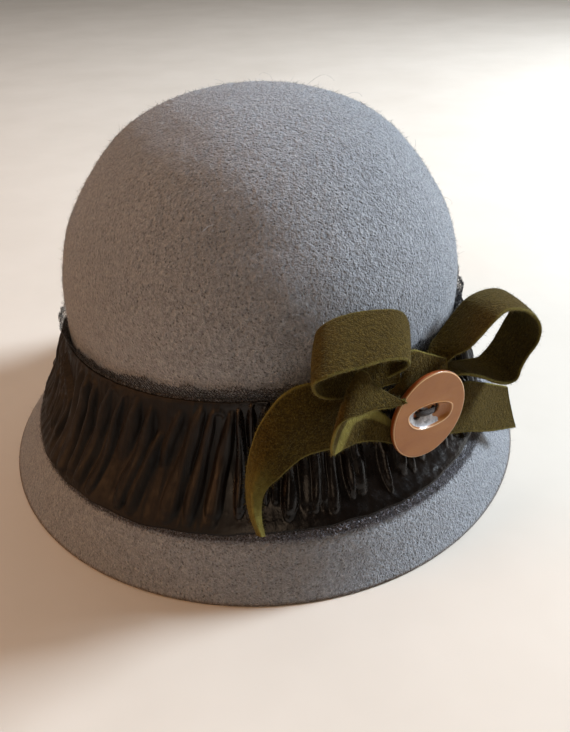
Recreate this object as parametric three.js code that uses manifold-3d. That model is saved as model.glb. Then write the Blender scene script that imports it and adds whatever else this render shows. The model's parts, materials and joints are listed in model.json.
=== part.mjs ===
// Cloche hat: a wool-felt bell with a gathered band, a felt bow and a large button.
// Millimetres, +Z up, the hat resting on its brim edge at z = 0. The front of the
// hat faces -Y and the wearer's left is +X. The origin is the middle of the brim.
import * as THREE from "three";
import { mergeVertices } from "three/addons/utils/BufferGeometryUtils.js";
import Module from "manifold-3d";

const wasm = await Module();
wasm.setup();

// ---------- named sizes ----------
const FELT = 2.2; // felt wall of crown and brim
const GAP = 0.3; // clearance kept between neighbouring pieces
const CROWN_X = 0.9, CROWN_Y = -0.9; // centre of the crown against the brim's
const WAIST_Z = 71; // narrowest height, where the crown starts
const TOP_Z = 157.7; // top of the crown
const CROWN_HALF_X = 86.3, CROWN_HALF_Y = 97.7;
const NET = 1.0; // net strip, wall
const NET_BOTTOM_Z = 23.4;
const NET_TOP_Z = 71.0, NET_TOP_SLOPE_X = 0.049, NET_TOP_SLOPE_Y = -0.046;
const NET_LIFT_LEFT = 3.2, NET_LIFT_RIGHT = 1.4; // how far its top edge stands off the crown
const RUCHE_BOTTOM_Z = 27, RUCHE_BELOW_TOP = 5.0; // lower edge, and drop below the net's top edge
const RUCHE_FOLDS = 34, RUCHE_LEAN = 0.30; // gathers round the hat, and their lean in radians over the height
const STRIP = 2.0; // felt strips of the bow
const HOLE_R = 2.0, THREAD_R = 0.6;
const BRIM_WIDE = 3.5, BRIM_WIDE_AT = 0.35; // brim wider on one side: how much, and where (radians from +X)
const AROUND = 60; // facets round the hat

// ---------- small helpers ----------
const mix = (a, b, t) => a + (b - a) * t;
const smooth = (t) => t * t * (3 - 2 * t);

// Closed mesh from a grid of points: rows[i][j], rows run along, j closes round.
function tubeOfLoops(loops, capStart, capEnd) {
  const m = loops[0].length, pos = [], idx = [];
  for (const loop of loops) for (const p of loop) pos.push(p[0], p[1], p[2]);
  for (let i = 0; i + 1 < loops.length; i++)
    for (let j = 0; j < m; j++) {
      const a = i * m + j, b = i * m + ((j + 1) % m), c = a + m, d = b + m;
      idx.push(a, b, d, a, d, c);
    }
  const cap = (i, flip) => {
    const c = pos.length / 3;
    let x = 0, y = 0, z = 0;
    for (const p of loops[i]) { x += p[0] / m; y += p[1] / m; z += p[2] / m; }
    pos.push(x, y, z);
    for (let j = 0; j < m; j++) {
      const a = i * m + j, b = i * m + ((j + 1) % m);
      if (flip) idx.push(c, b, a); else idx.push(c, a, b);
    }
  };
  if (capStart) cap(0, true);
  if (capEnd) cap(loops.length - 1, false);
  return geometry(pos, idx);
}

// Ring swept round the hat: profile(theta) gives the same number of points each time.
function ringOf(profile, segments) {
  const m = profile(0).length, pos = [], idx = [];
  for (let i = 0; i < segments; i++)
    for (const p of profile((i / segments) * 2 * Math.PI)) pos.push(p[0], p[1], p[2]);
  for (let i = 0; i < segments; i++)
    for (let j = 0; j < m; j++) {
      const i2 = (i + 1) % segments, j2 = (j + 1) % m;
      const a = i * m + j, b = i2 * m + j, c = i2 * m + j2, d = i * m + j2;
      idx.push(a, b, c, a, c, d);
    }
  return geometry(pos, idx);
}

function geometry(pos, idx) {
  const g = new THREE.BufferGeometry();
  g.setAttribute("position", new THREE.Float32BufferAttribute(pos, 3));
  g.setIndex(idx);
  g.computeVertexNormals();
  return g;
}

function facingOut(g) {
  const p = g.getAttribute("position"), i = g.getIndex();
  let v = 0;
  const A = new THREE.Vector3(), B = new THREE.Vector3(), C = new THREE.Vector3();
  for (let k = 0; k < i.count; k += 3) {
    A.fromBufferAttribute(p, i.getX(k)); B.fromBufferAttribute(p, i.getX(k + 1)); C.fromBufferAttribute(p, i.getX(k + 2));
    v += A.dot(B.clone().cross(C));
  }
  if (v < 0) {
    const a = Array.from(i.array);
    for (let k = 0; k < a.length; k += 3) [a[k + 1], a[k + 2]] = [a[k + 2], a[k + 1]];
    g.setIndex(a);
    g.computeVertexNormals();
  }
  return g;
}

function solid(g) {
  const s = g.clone();
  s.deleteAttribute("normal");
  if (s.getAttribute("uv")) s.deleteAttribute("uv");
  const m = mergeVertices(s, 1e-4);
  return new wasm.Manifold(new wasm.Mesh({
    numProp: 3,
    vertProperties: new Float32Array(m.getAttribute("position").array),
    triVerts: new Uint32Array(m.getIndex().array),
  }));
}

function fromSolid(s) {
  const m = s.getMesh();
  return geometry(Array.from(m.vertProperties), Array.from(m.triVerts));
}

// ---------- felt hood: crown and brim in one shell ----------
// Bell below the waist: a row per height, half sizes across and along the hat, centre,
// and how square the oval is (2 is an ellipse).
const BELL = [ // z, halfX, halfY, centreX, centreY, square
  [0, 118.6, 129.5, 0.0, 0.0, 2.0],
  [12, 110.5, 125.7, 0.18, 1.26, 2.08],
  [23, 103.2, 122.2, 0.35, 2.42, 2.17],
  [35, 94.7, 109.9, 0.49, 1.59, 2.13],
  [47, 89.2, 101.8, 0.63, 0.76, 2.08],
  [59, 86.7, 98.1, 0.76, -0.07, 2.04],
  [71, 86.5, 97.9, 0.9, -0.9, 2.0],
];
// Crown above the waist: fraction of its height, and half size against the waist's.
const CROWN = [ // up, scale
  [0.15, 1.004],
  [0.3, 0.9825],
  [0.45, 0.9316],
  [0.6, 0.8417],
  [0.72, 0.7502],
  [0.83, 0.6285],
  [0.91, 0.4792],
  [0.965, 0.3123],
  [0.992, 0.15],
];
const hoodRows = [
  ...BELL.map(([z, a, b, cx, cy, e]) => ({ z, a, b, cx, cy, e })),
  ...CROWN.map(([up, s]) => ({ z: mix(WAIST_Z, TOP_Z, up), a: CROWN_HALF_X * s, b: CROWN_HALF_Y * s, cx: CROWN_X, cy: CROWN_Y, e: 2 })),
];

// Outer felt surface at a height: sizes and centre, straight between rows.
function feltAt(z) {
  for (let i = 0; i + 1 < hoodRows.length; i++) {
    const p = hoodRows[i], q = hoodRows[i + 1];
    if (z <= q.z) {
      const t = Math.max(0, (z - p.z) / (q.z - p.z));
      const r = { z };
      for (const k of ["a", "b", "cx", "cy", "e"]) r[k] = mix(p[k], q[k], t);
      return r;
    }
  }
  return hoodRows[hoodRows.length - 1];
}
// The brim is a little wider on the wearer's left, toward the back.
function brimWide(theta, z) {
  const c = Math.cos(theta - BRIM_WIDE_AT);
  return c > 0 ? BRIM_WIDE * c ** 6 * Math.max(0, 1 - z / 23) : 0;
}
// Point a horizontal distance off the outer felt of a row, at angle theta.
function offRow(row, theta, off) {
  const c = Math.cos(theta), s = Math.sin(theta);
  const k = (Math.abs(c) ** row.e + Math.abs(s) ** row.e) ** (-1 / row.e);
  const wide = brimWide(theta, row.z);
  return [row.cx + (row.a + off + wide) * k * c, row.cy + (row.b + off + wide) * k * s, row.z];
}
const offFelt = (theta, z, off) => offRow(feltAt(z), theta, off);

function hoodGeometry() {
  const angle = (k) => (k / AROUND) * 2 * Math.PI;
  const outer = hoodRows.map((row) => Array.from({ length: AROUND }, (_, k) => offRow(row, angle(k), 0)));
  // wall: each inner point lies FELT inside, square to the surface
  const inner = hoodRows.map((row, i) => {
    const lo = hoodRows[Math.max(0, i - 1)], hi = hoodRows[Math.min(hoodRows.length - 1, i + 1)];
    return outer[i].map((p, k) => {
      const t = angle(k), P = new THREE.Vector3(...p);
      const round = new THREE.Vector3(...offRow(row, t + 0.01, 0)).sub(P);
      const up = new THREE.Vector3(...offRow(hi, t, 0)).sub(new THREE.Vector3(...offRow(lo, t, 0)));
      const n = round.cross(up).normalize();
      if (i === 0) { // level cut along the resting edge
        const l = Math.hypot(n.x, n.y);
        return [p[0] - (n.x / l / l) * FELT, p[1] - (n.y / l / l) * FELT, 0];
      }
      P.addScaledVector(n, -FELT);
      return [P.x, P.y, P.z];
    });
  });
  const pos = [], idx = [], m = AROUND;
  for (const loop of outer) for (const p of loop) pos.push(...p);
  const topOut = pos.length / 3;
  pos.push(CROWN_X, CROWN_Y, TOP_Z);
  const innerStart = pos.length / 3;
  for (const loop of inner) for (const p of loop) pos.push(...p);
  const topIn = pos.length / 3;
  pos.push(CROWN_X, CROWN_Y, TOP_Z - FELT);
  const n = outer.length;
  const quad = (a, b, c, d) => idx.push(a, b, c, a, c, d);
  for (let i = 0; i + 1 < n; i++)
    for (let k = 0; k < m; k++) {
      const k2 = (k + 1) % m;
      quad(i * m + k, i * m + k2, (i + 1) * m + k2, (i + 1) * m + k);
      quad(innerStart + i * m + k2, innerStart + i * m + k, innerStart + (i + 1) * m + k, innerStart + (i + 1) * m + k2);
    }
  for (let k = 0; k < m; k++) {
    const k2 = (k + 1) % m;
    idx.push((n - 1) * m + k, (n - 1) * m + k2, topOut);
    idx.push(innerStart + (n - 1) * m + k2, innerStart + (n - 1) * m + k, topIn);
    quad(k2, k, innerStart + k, innerStart + k2); // the cut edge the hat rests on
  }
  return facingOut(geometry(pos, idx));
}

// ---------- net strip and ruched band ----------
const WALL_Z = [35, 47, 59]; // heights at which both follow the felt's rows
const netTop = (t) => {
  const p = offFelt(t, WAIST_Z, 0);
  return NET_TOP_Z + NET_TOP_SLOPE_X * p[0] + NET_TOP_SLOPE_Y * p[1];
};
// How far the strip's top edge stands off, most at the sides of the hat.
const netLift = (t) => {
  const c = Math.cos(t);
  return (c < 0 ? NET_LIFT_LEFT : NET_LIFT_RIGHT) * Math.pow(Math.abs(c), 2.5);
};
function netGeometry() {
  return facingOut(ringOf((t) => {
    const top = netTop(t), knee = top - RUCHE_BELOW_TOP, lift = netLift(t), o = GAP;
    return [
      offFelt(t, NET_BOTTOM_Z, o), offFelt(t, NET_BOTTOM_Z, o + NET),
      ...WALL_Z.map((z) => offFelt(t, z, o + NET)), offFelt(t, knee, o + NET), offFelt(t, top, o + NET + lift),
      offFelt(t, top, o + lift), offFelt(t, knee, o), ...[...WALL_Z].reverse().map((z) => offFelt(t, z, o)),
    ];
  }, AROUND));
}

// Profile of the gathers over the band's height: height fraction, fullness, depth of the folds.
const RUCHE = [ // up, full, fold
  [0.0, 1.1, 0.2],
  [0.07, 2.0, 0.6],
  [0.3, 2.5, 0.6],
  [0.6, 2.5, 0.6],
  [0.93, 2.0, 0.6],
  [1.0, 1.1, 0.2],
];
const rucheBottom = (t) => RUCHE_BOTTOM_Z + 1.4 * Math.cos(t - 0.3);
function rucheGeometry() {
  const inside = GAP + NET + GAP;
  return facingOut(ringOf((t) => {
    const lo = rucheBottom(t), hi = netTop(t) - RUCHE_BELOW_TOP;
    const out = RUCHE.map(([up, full, fold]) => {
      const wave = Math.cos(RUCHE_FOLDS * (t + (RUCHE_LEAN / RUCHE_FOLDS) * 8 * up));
      return offFelt(t, mix(lo, hi, up), inside + full + fold * wave);
    });
    return [...out, offFelt(t, hi, inside), ...[...WALL_Z].reverse().map((z) => offFelt(t, z, inside)), offFelt(t, lo, inside)];
  }, RUCHE_FOLDS * 4));
}

// ---------- bow: felt strips ----------
// Each row is one place along the strip: a point on its near edge, the strip's width
// there, and the way its width points: yaw from +Y toward +X, and pitch up, in degrees.
// The point lies on the strip's outer face, and its thickness goes inward from there.
const STRIPS = {
  inward: { bow_loop_left: -1, bow_loop_right: -1, bow_fold_mid: 1, bow_tail_left: 1, bow_tail_right: -1, bow_knot: -1 },
  columns: ["x", "y", "z", "wide", "yaw", "pitch"],
  rows: {
    bow_loop_left: [
      [53.7, -88.8, 71.7, 7.6, 30, 84],
      [48.3, -92.1, 71.7, 12, 15, 62],
      [42.3, -95.1, 71.5, 14.2, 12, 71],
      [35.6, -99.6, 72.3, 16.4, 7, 69],
      [28.9, -107.7, 75.9, 17.9, 6, 49],
      [24.3, -112.6, 79.8, 18.7, 5, 34],
      [21.9, -116.7, 85.2, 20.7, 4, 21],
      [22.2, -120.1, 90.3, 25, 3, 11],
      [26, -119.8, 92, 25, -1, 15],
      [30.9, -117.6, 92.5, 25, -3, 18],
      [37.6, -113.5, 91.9, 25, -3, 20],
      [44.5, -109.2, 91.6, 25, 0, 18],
      [51, -104.6, 90, 25, 4, 16],
      [54.8, -101.5, 87.8, 25, 4, 12],
      [56.2, -99.7, 85.2, 22.3, 5, 10],
      [55.4, -98.8, 82.7, 21, 7, 9],
      [52.5, -98.2, 80.3, 17.6, 10, 18],
      [48.7, -98.8, 78.7, 14.6, 14, 26],
    ],
    bow_loop_right: [
      [70.6, -75.2, 66.9, 9.8, -119, 56],
      [75.7, -75.2, 73.4, 9.9, -64, 20],
      [80.1, -78.8, 79.5, 20.3, -20, -5],
      [83.9, -79.2, 84.8, 25, -14, -6],
      [88.9, -76.9, 90.1, 25, -15, -7],
      [93.3, -73.7, 92.2, 25, -13, -8],
      [98.7, -69.9, 91.4, 25, -12, -7],
      [105.4, -64.5, 87.5, 25, -11, -5],
      [110.7, -60.1, 81.8, 25, -11, -4],
      [113.5, -57.5, 75.1, 25, -14, -4],
      [112.8, -57.3, 68.8, 25, -18, -4],
      [109.4, -59.1, 64.4, 25, -16, -5],
      [107.4, -59.9, 59.8, 25, -17, -5],
      [106, -60.3, 54.4, 25, -19, 0],
      [101.6, -62.6, 53.5, 25, -16, -3],
      [96.1, -64.8, 55.4, 25, -13, -7],
      [89.7, -67.2, 59.2, 22.5, -14, -12],
      [82.3, -69.8, 62.2, 9.4, -41, 12],
      [75.9, -72.6, 63.1, 7.3, -74, 38],
    ],
    bow_fold_mid: [
      [55.8, -102, 70.7, 1.9, -122, 43],
      [51.6, -104.7, 70.9, 3.6, -4, 44],
      [47.2, -107.4, 71.9, 6.8, 7, 33],
      [42.8, -110.1, 72.8, 10, 8, 42],
      [38.5, -112.9, 72.7, 15.1, 17, 54],
      [34.7, -115.4, 73.2, 16.9, 22, 51],
      [31.6, -116.8, 72.2, 17.5, 26, 50],
      [29.3, -117, 68.7, 18.7, 31, 52],
      [28.1, -115.7, 62.8, 19.6, 37, 53],
      [28.6, -112.8, 56.5, 19.4, 37, 48],
      [31.9, -109.3, 56, 15.8, 37, 43],
      [36.3, -105.3, 55.7, 14.7, 37, 40],
      [41.7, -101.3, 54.1, 12.1, 40, 32],
      [47.3, -96.4, 50.5, 8.6, 42, 34],
      [51.9, -92.7, 47, 5.6, 41, 41],
    ],
    bow_tail_left: [
      [52.3, -91.6, 50.2, 8.9, -73, 72],
      [45.1, -96.2, 50.9, 16.5, -74, 78],
      [36.7, -100.8, 52, 22.7, -80, 80],
      [28.6, -104.8, 52.8, 26.8, -57, 82],
      [22.4, -107.6, 52.9, 27.7, -50, 81],
      [17.8, -110.1, 52.3, 26.2, -56, 76],
      [13.9, -112.5, 50.2, 23.4, -56, 70],
      [10.3, -114.5, 47.4, 19.8, -52, 62],
      [7.1, -115.8, 44.9, 14.4, -52, 51],
      [4.9, -117.3, 41.6, 10.1, -56, 39],
      [4.3, -119, 37.6, 7.4, -65, 26],
      [4.6, -121.3, 33.2, 5.7, -71, 18],
      [5.5, -123.8, 29.1, 3.4, -83, 2],
    ],
    bow_tail_right: [
      [77.7, -74.5, 38.1, 15.8, -42, 77],
      [82.5, -70.8, 35.9, 19.3, -38, 77],
      [88.6, -66, 33, 22.7, -50, 77],
      [96, -60, 28.8, 23.3, -54, 76],
      [103.7, -53.5, 25.2, 22.1, -58, 75],
      [112.8, -45.7, 21.1, 20.8, -73, 74],
    ],
    bow_knot: [
      [49.8, -91.8, 63.3, 5, -6, 77],
      [52.3, -91.5, 64.4, 5.5, -1, 67],
      [55.1, -90.7, 64.8, 9.7, -8, 78],
      [56.4, -90.8, 64.8, 14.9, -22, 81],
      [59.2, -89, 64.5, 19, -32, 83],
      [65.7, -84.6, 63.4, 15.9, 1, 79],
      [72.5, -79.5, 62.8, 12.1, 13, 80],
    ],
  },
};
const STEPS_PER_ROW = 2, ACROSS = 2;

function stripGeometry(name) {
  const near = [], far = [];
  for (const [x, y, z, wide, yaw, pitch] of STRIPS.rows[name]) {
    const a = (yaw * Math.PI) / 180, b = (pitch * Math.PI) / 180;
    const p = new THREE.Vector3(x, y, z);
    near.push(p);
    far.push(p.clone().add(new THREE.Vector3(Math.cos(b) * Math.sin(a), Math.cos(b) * Math.cos(a), Math.sin(b)).multiplyScalar(wide)));
  }
  const A = new THREE.CatmullRomCurve3(near), B = new THREE.CatmullRomCurve3(far);
  const n = (near.length - 1) * STEPS_PER_ROW;
  const grid = [];
  for (let i = 0; i <= n; i++) {
    const p = A.getPoint(i / n), q = B.getPoint(i / n), row = [];
    for (let j = 0; j <= ACROSS; j++) row.push(p.clone().lerp(q, j / ACROSS));
    grid.push(row);
  }
  const loops = grid.map((row, i) => {
    const front = [], back = [];
    row.forEach((p, j) => {
      const along = grid[Math.min(n, i + 1)][j].clone().sub(grid[Math.max(0, i - 1)][j]);
      const across = row[ACROSS].clone().sub(row[0]);
      const normal = along.cross(across).normalize().multiplyScalar(STRIP * STRIPS.inward[name]);
      front.push(p.toArray());
      back.push(p.clone().add(normal).toArray());
    });
    return [...front, ...back.reverse()];
  });
  return facingOut(tubeOfLoops(loops, true, true));
}

// ---------- button ----------
const BUTTON_PROFILE = [ // radius, height
  [0, -1.6], [16.2, -1.6], [17.4, -1.1], [18.0, -0.3], [18.1, 0.4], [17.7, 1.1], [16.9, 1.5], [15.8, 1.6], [14.2, 1.42], [0, 1.3],
];
// Eye-shaped hollow in the front, centred on its own middle: across, up.
const EYE = [
  [-11.1, 2.8], [-10.4, 0.4], [-8.7, -1.8], [-4.9, -4.3], [-0.7, -5.3], [3.9, -5.4], [8, -4.7], [10.2, -3.3], [11.1, -1.1],
  [10.9, 0.8], [9.2, 2.4], [5.9, 3.8], [1.7, 4.9], [-2.4, 5.4], [-6.4, 5.4], [-9.3, 4.8], [-10.8, 4],
];
const EYE_X = 0.3, EYE_Y = -0.2, EYE_DEPTH = 1.5, EYE_FLOOR = 0.74;
const HOLES = [[-4.7, 1.3], [3.7, 0.9]]; // hole centres: across, up

function buttonGeometry() {
  const lathe = new THREE.LatheGeometry(BUTTON_PROFILE.map(([r, h]) => new THREE.Vector2(r, h)), 52);
  lathe.rotateX(Math.PI / 2); // profile height to +Z
  let body = solid(facingOut(lathe));
  const ring = (k, z) => EYE.map(([x, y]) => [EYE_X + x * k, EYE_Y + y * k, z]);
  const eye = tubeOfLoops([ring(EYE_FLOOR, 1.4 - EYE_DEPTH), ring(0.93, 0.9), ring(1, 1.42), ring(1.02, 2.2)], true, true);
  body = body.subtract(solid(facingOut(eye)));
  for (const [x, y] of HOLES) {
    const hole = new THREE.CylinderGeometry(HOLE_R, HOLE_R, 8, 14);
    hole.rotateX(Math.PI / 2);
    hole.translate(x, y, 0);
    body = body.subtract(solid(facingOut(hole)));
  }
  return fromSolid(body);
}

// Thread: down one hole, across the web between them, and down the other.
function threadGeometry() {
  const [[x0, y0], [x1, y1]] = HOLES, over = 1.4 - EYE_DEPTH + GAP + THREAD_R;
  const path = new THREE.CatmullRomCurve3([
    [x0, y0, -2.0], [x0, y0, -1.0], [x0 + 0.7, y0, over - 0.35], [x0 + 2.2, y0, over + 0.25],
    [x1 - 2.2, y1, over + 0.25], [x1 - 0.7, y1, over - 0.35], [x1, y1, -1.0], [x1, y1, -2.0],
  ].map((p) => new THREE.Vector3(...p)));
  const section = new THREE.Shape();
  for (let k = 0; k < 8; k++) {
    const a = (k / 8) * 2 * Math.PI;
    k ? section.lineTo(THREAD_R * Math.cos(a), THREAD_R * Math.sin(a)) : section.moveTo(THREAD_R, 0);
  }
  return new THREE.ExtrudeGeometry(section, { extrudePath: path, steps: 20, bevelEnabled: false });
}

// ---------- scene graph ----------
const felt = new THREE.MeshStandardMaterial({ name: "wool_felt_grey", color: 0x8b959b, roughness: 0.95, metalness: 0 });
const net = new THREE.MeshStandardMaterial({ name: "net_black", color: 0x15151a, roughness: 0.6, metalness: 0 });
const satin = new THREE.MeshStandardMaterial({ name: "satin_dark_brown", color: 0x1d1612, roughness: 0.35, metalness: 0 });
const olive = new THREE.MeshStandardMaterial({ name: "felt_olive", color: 0x3a3d14, roughness: 0.95, metalness: 0 });
const shell = new THREE.MeshStandardMaterial({ name: "button_shell", color: 0xb5876a, roughness: 0.3, metalness: 0 });
const thread = new THREE.MeshStandardMaterial({ name: "thread_dark", color: 0x1c1410, roughness: 0.7, metalness: 0 });

const hat = new THREE.Group();
const add = (parent, name, geo, material) => {
  const mesh = new THREE.Mesh(geo, material);
  mesh.name = name;
  parent.add(mesh);
  return mesh;
};
add(hat, "felt_hood", hoodGeometry(), felt);
add(hat, "net_band", netGeometry(), net);
add(hat, "ruched_band", rucheGeometry(), satin);

const bow = new THREE.Group();
for (const name of Object.keys(STRIPS.rows)) add(bow, name, stripGeometry(name), olive);
hat.add(bow);

// The button faces forward and to the wearer's left, upright.
const BUTTON_AT = [65.5, -87.8, 56.8];
const BUTTON_FACE = new THREE.Vector3(0.581, -0.813, -0.014).normalize();
const fastening = new THREE.Group();
const acrossButton = new THREE.Vector3(0, 0, 1).cross(BUTTON_FACE).normalize();
const upButton = BUTTON_FACE.clone().cross(acrossButton);
fastening.matrixAutoUpdate = true;
fastening.quaternion.setFromRotationMatrix(new THREE.Matrix4().makeBasis(acrossButton, upButton, BUTTON_FACE));
fastening.position.set(...BUTTON_AT);
add(fastening, "button", buttonGeometry(), shell);
add(fastening, "button_thread", threadGeometry(), thread);
hat.add(fastening);

export default hat;
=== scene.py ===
"""The looks of a felt cloche hat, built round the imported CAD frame.

Lengths in the tables are millimetres in the row frame; meshes are made in metres.
Bends, folds and fibres come from seeded generators, so every run gives the same hat.
"""
import bpy
import json
import math
import numpy as np
from mathutils import Matrix, Vector

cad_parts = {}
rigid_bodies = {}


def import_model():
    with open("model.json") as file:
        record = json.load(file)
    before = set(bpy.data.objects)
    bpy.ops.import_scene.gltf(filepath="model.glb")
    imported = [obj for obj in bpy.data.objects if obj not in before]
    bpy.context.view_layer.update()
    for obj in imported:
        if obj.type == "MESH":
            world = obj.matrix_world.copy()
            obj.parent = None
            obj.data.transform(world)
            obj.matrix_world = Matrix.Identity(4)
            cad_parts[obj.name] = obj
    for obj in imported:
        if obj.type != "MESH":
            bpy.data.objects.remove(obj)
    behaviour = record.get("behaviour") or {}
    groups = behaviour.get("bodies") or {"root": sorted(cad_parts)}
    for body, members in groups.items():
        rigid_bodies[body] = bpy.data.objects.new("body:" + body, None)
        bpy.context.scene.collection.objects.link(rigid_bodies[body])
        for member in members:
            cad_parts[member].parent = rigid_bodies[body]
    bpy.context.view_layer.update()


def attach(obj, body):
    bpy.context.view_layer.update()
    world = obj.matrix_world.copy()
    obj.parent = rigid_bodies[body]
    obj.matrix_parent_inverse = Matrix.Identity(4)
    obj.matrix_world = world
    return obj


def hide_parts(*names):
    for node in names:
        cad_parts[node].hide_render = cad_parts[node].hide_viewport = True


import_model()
MM = 0.001

# ------------------------------------------------------------------ camera
CAM_AT = (18.220, -339.777, 224.405)
CAM_RIGHT = (0.99977, 0.01192, -0.01758)
CAM_UP = (0.00920, 0.50272, 0.86440)
CAM_FORWARD = (-0.01914, 0.86437, -0.50249)
LENS, SENSOR = 39.61, 36.0  # for a 570 x 732 picture

# ------------------------------------------------------------------ felt
FELT = 2.2
WAIST_Z, TOP_Z = 71.0, 157.7
BELL = [  # z, halfX, halfY, centreX, centreY, square
    (0, 118.6, 129.5, 0.0, 0.0, 2.0),
    (12, 110.5, 125.7, 0.18, 1.26, 2.08),
    (23, 103.2, 122.2, 0.35, 2.42, 2.17),
    (35, 94.7, 109.9, 0.49, 1.59, 2.13),
    (47, 89.2, 101.8, 0.63, 0.76, 2.08),
    (59, 86.7, 98.1, 0.76, -0.07, 2.04),
    (71, 86.5, 97.9, 0.9, -0.9, 2.0),
]
CROWN = [  # up, scale
    (0.15, 1.004), (0.3, 0.9825), (0.45, 0.9316), (0.6, 0.8417), (0.72, 0.7502),
    (0.83, 0.6285), (0.91, 0.4792), (0.965, 0.3123), (0.992, 0.15), (1.0, 0.0),
]
CROWN_HALF = (86.3, 97.7)
CROWN_AT = (0.9, -0.9)
BRIM_WIDE, BRIM_WIDE_AT = 3.5, 0.35

# ------------------------------------------------------------------ band
NET_BOTTOM_Z, NET_TOP_Z = 23.4, 71.0
RUCHE_BOTTOM_Z, RUCHE_BELOW_TOP = 27.0, 5.0

# ------------------------------------------------------------------ bow strips
STRIP_SEEN = 1.2  # the felt strip's thickness
INWARD = {"bow_loop_left": -1, "bow_loop_right": -1, "bow_fold_mid": 1, "bow_tail_left": 1, "bow_tail_right": -1, "bow_knot": -1}  # which way the thickness goes from the outer face
STRIPS = {  # rows: x, y, z of the near edge, width, yaw, pitch of the width
    "bow_loop_left": [
        (53.7, -88.8, 71.7, 7.6, 30, 84),
        (48.3, -92.1, 71.7, 12, 15, 62),
        (42.3, -95.1, 71.5, 14.2, 12, 71),
        (35.6, -99.6, 72.3, 16.4, 7, 69),
        (28.9, -107.7, 75.9, 17.9, 6, 49),
        (24.3, -112.6, 79.8, 18.7, 5, 34),
        (21.9, -116.7, 85.2, 20.7, 4, 21),
        (22.2, -120.1, 90.3, 25, 3, 11),
        (26, -119.8, 92, 25, -1, 15),
        (30.9, -117.6, 92.5, 25, -3, 18),
        (37.6, -113.5, 91.9, 25, -3, 20),
        (44.5, -109.2, 91.6, 25, 0, 18),
        (51, -104.6, 90, 25, 4, 16),
        (54.8, -101.5, 87.8, 25, 4, 12),
        (56.2, -99.7, 85.2, 22.3, 5, 10),
        (55.4, -98.8, 82.7, 21, 7, 9),
        (52.5, -98.2, 80.3, 17.6, 10, 18),
        (48.7, -98.8, 78.7, 14.6, 14, 26),
    ],
    "bow_loop_right": [
        (70.6, -75.2, 66.9, 9.8, -119, 56),
        (75.7, -75.2, 73.4, 9.9, -64, 20),
        (80.1, -78.8, 79.5, 20.3, -20, -5),
        (83.9, -79.2, 84.8, 25, -14, -6),
        (88.9, -76.9, 90.1, 25, -15, -7),
        (93.3, -73.7, 92.2, 25, -13, -8),
        (98.7, -69.9, 91.4, 25, -12, -7),
        (105.4, -64.5, 87.5, 25, -11, -5),
        (110.7, -60.1, 81.8, 25, -11, -4),
        (113.5, -57.5, 75.1, 25, -14, -4),
        (112.8, -57.3, 68.8, 25, -18, -4),
        (109.4, -59.1, 64.4, 25, -16, -5),
        (107.4, -59.9, 59.8, 25, -17, -5),
        (106, -60.3, 54.4, 25, -19, 0),
        (101.6, -62.6, 53.5, 25, -16, -3),
        (96.1, -64.8, 55.4, 25, -13, -7),
        (89.7, -67.2, 59.2, 22.5, -14, -12),
        (82.3, -69.8, 62.2, 9.4, -41, 12),
        (75.9, -72.6, 63.1, 7.3, -74, 38),
    ],
    "bow_fold_mid": [
        (55.8, -102, 70.7, 1.9, -122, 43),
        (51.6, -104.7, 70.9, 3.6, -4, 44),
        (47.2, -107.4, 71.9, 6.8, 7, 33),
        (42.8, -110.1, 72.8, 10, 8, 42),
        (38.5, -112.9, 72.7, 15.1, 17, 54),
        (34.7, -115.4, 73.2, 16.9, 22, 51),
        (31.6, -116.8, 72.2, 17.5, 26, 50),
        (29.3, -117, 68.7, 18.7, 31, 52),
        (28.1, -115.7, 62.8, 19.6, 37, 53),
        (28.6, -112.8, 56.5, 19.4, 37, 48),
        (31.9, -109.3, 56, 15.8, 37, 43),
        (36.3, -105.3, 55.7, 14.7, 37, 40),
        (41.7, -101.3, 54.1, 12.1, 40, 32),
        (47.3, -96.4, 50.5, 8.6, 42, 34),
        (51.9, -92.7, 47, 5.6, 41, 41),
    ],
    "bow_tail_left": [
        (52.3, -91.6, 50.2, 8.9, -73, 72),
        (45.1, -96.2, 50.9, 16.5, -74, 78),
        (36.7, -100.8, 52, 22.7, -80, 80),
        (28.6, -104.8, 52.8, 26.8, -57, 82),
        (22.4, -107.6, 52.9, 27.7, -50, 81),
        (17.8, -110.1, 52.3, 26.2, -56, 76),
        (13.9, -112.5, 50.2, 23.4, -56, 70),
        (10.3, -114.5, 47.4, 19.8, -52, 62),
        (7.1, -115.8, 44.9, 14.4, -52, 51),
        (4.9, -117.3, 41.6, 10.1, -56, 39),
        (4.3, -119, 37.6, 7.4, -65, 26),
        (4.6, -121.3, 33.2, 5.7, -71, 18),
        (5.5, -123.8, 29.1, 3.4, -83, 2),
    ],
    "bow_tail_right": [
        (77.7, -74.5, 38.1, 15.8, -42, 77),
        (82.5, -70.8, 35.9, 19.3, -38, 77),
        (88.6, -66, 33, 22.7, -50, 77),
        (96, -60, 28.8, 23.3, -54, 76),
        (103.7, -53.5, 25.2, 22.1, -58, 75),
        (112.8, -45.7, 21.1, 20.8, -73, 74),
    ],
    "bow_knot": [
        (49.8, -91.8, 63.3, 5, -6, 77),
        (52.3, -91.5, 64.4, 5.5, -1, 67),
        (55.1, -90.7, 64.8, 9.7, -8, 78),
        (56.4, -90.8, 64.8, 14.9, -22, 81),
        (59.2, -89, 64.5, 19, -32, 83),
        (65.7, -84.6, 63.4, 15.9, 1, 79),
        (72.5, -79.5, 62.8, 12.1, 13, 80),
    ],
}

# ------------------------------------------------------------------ helpers
def rng(seed):
    return np.random.RandomState(seed)


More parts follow.
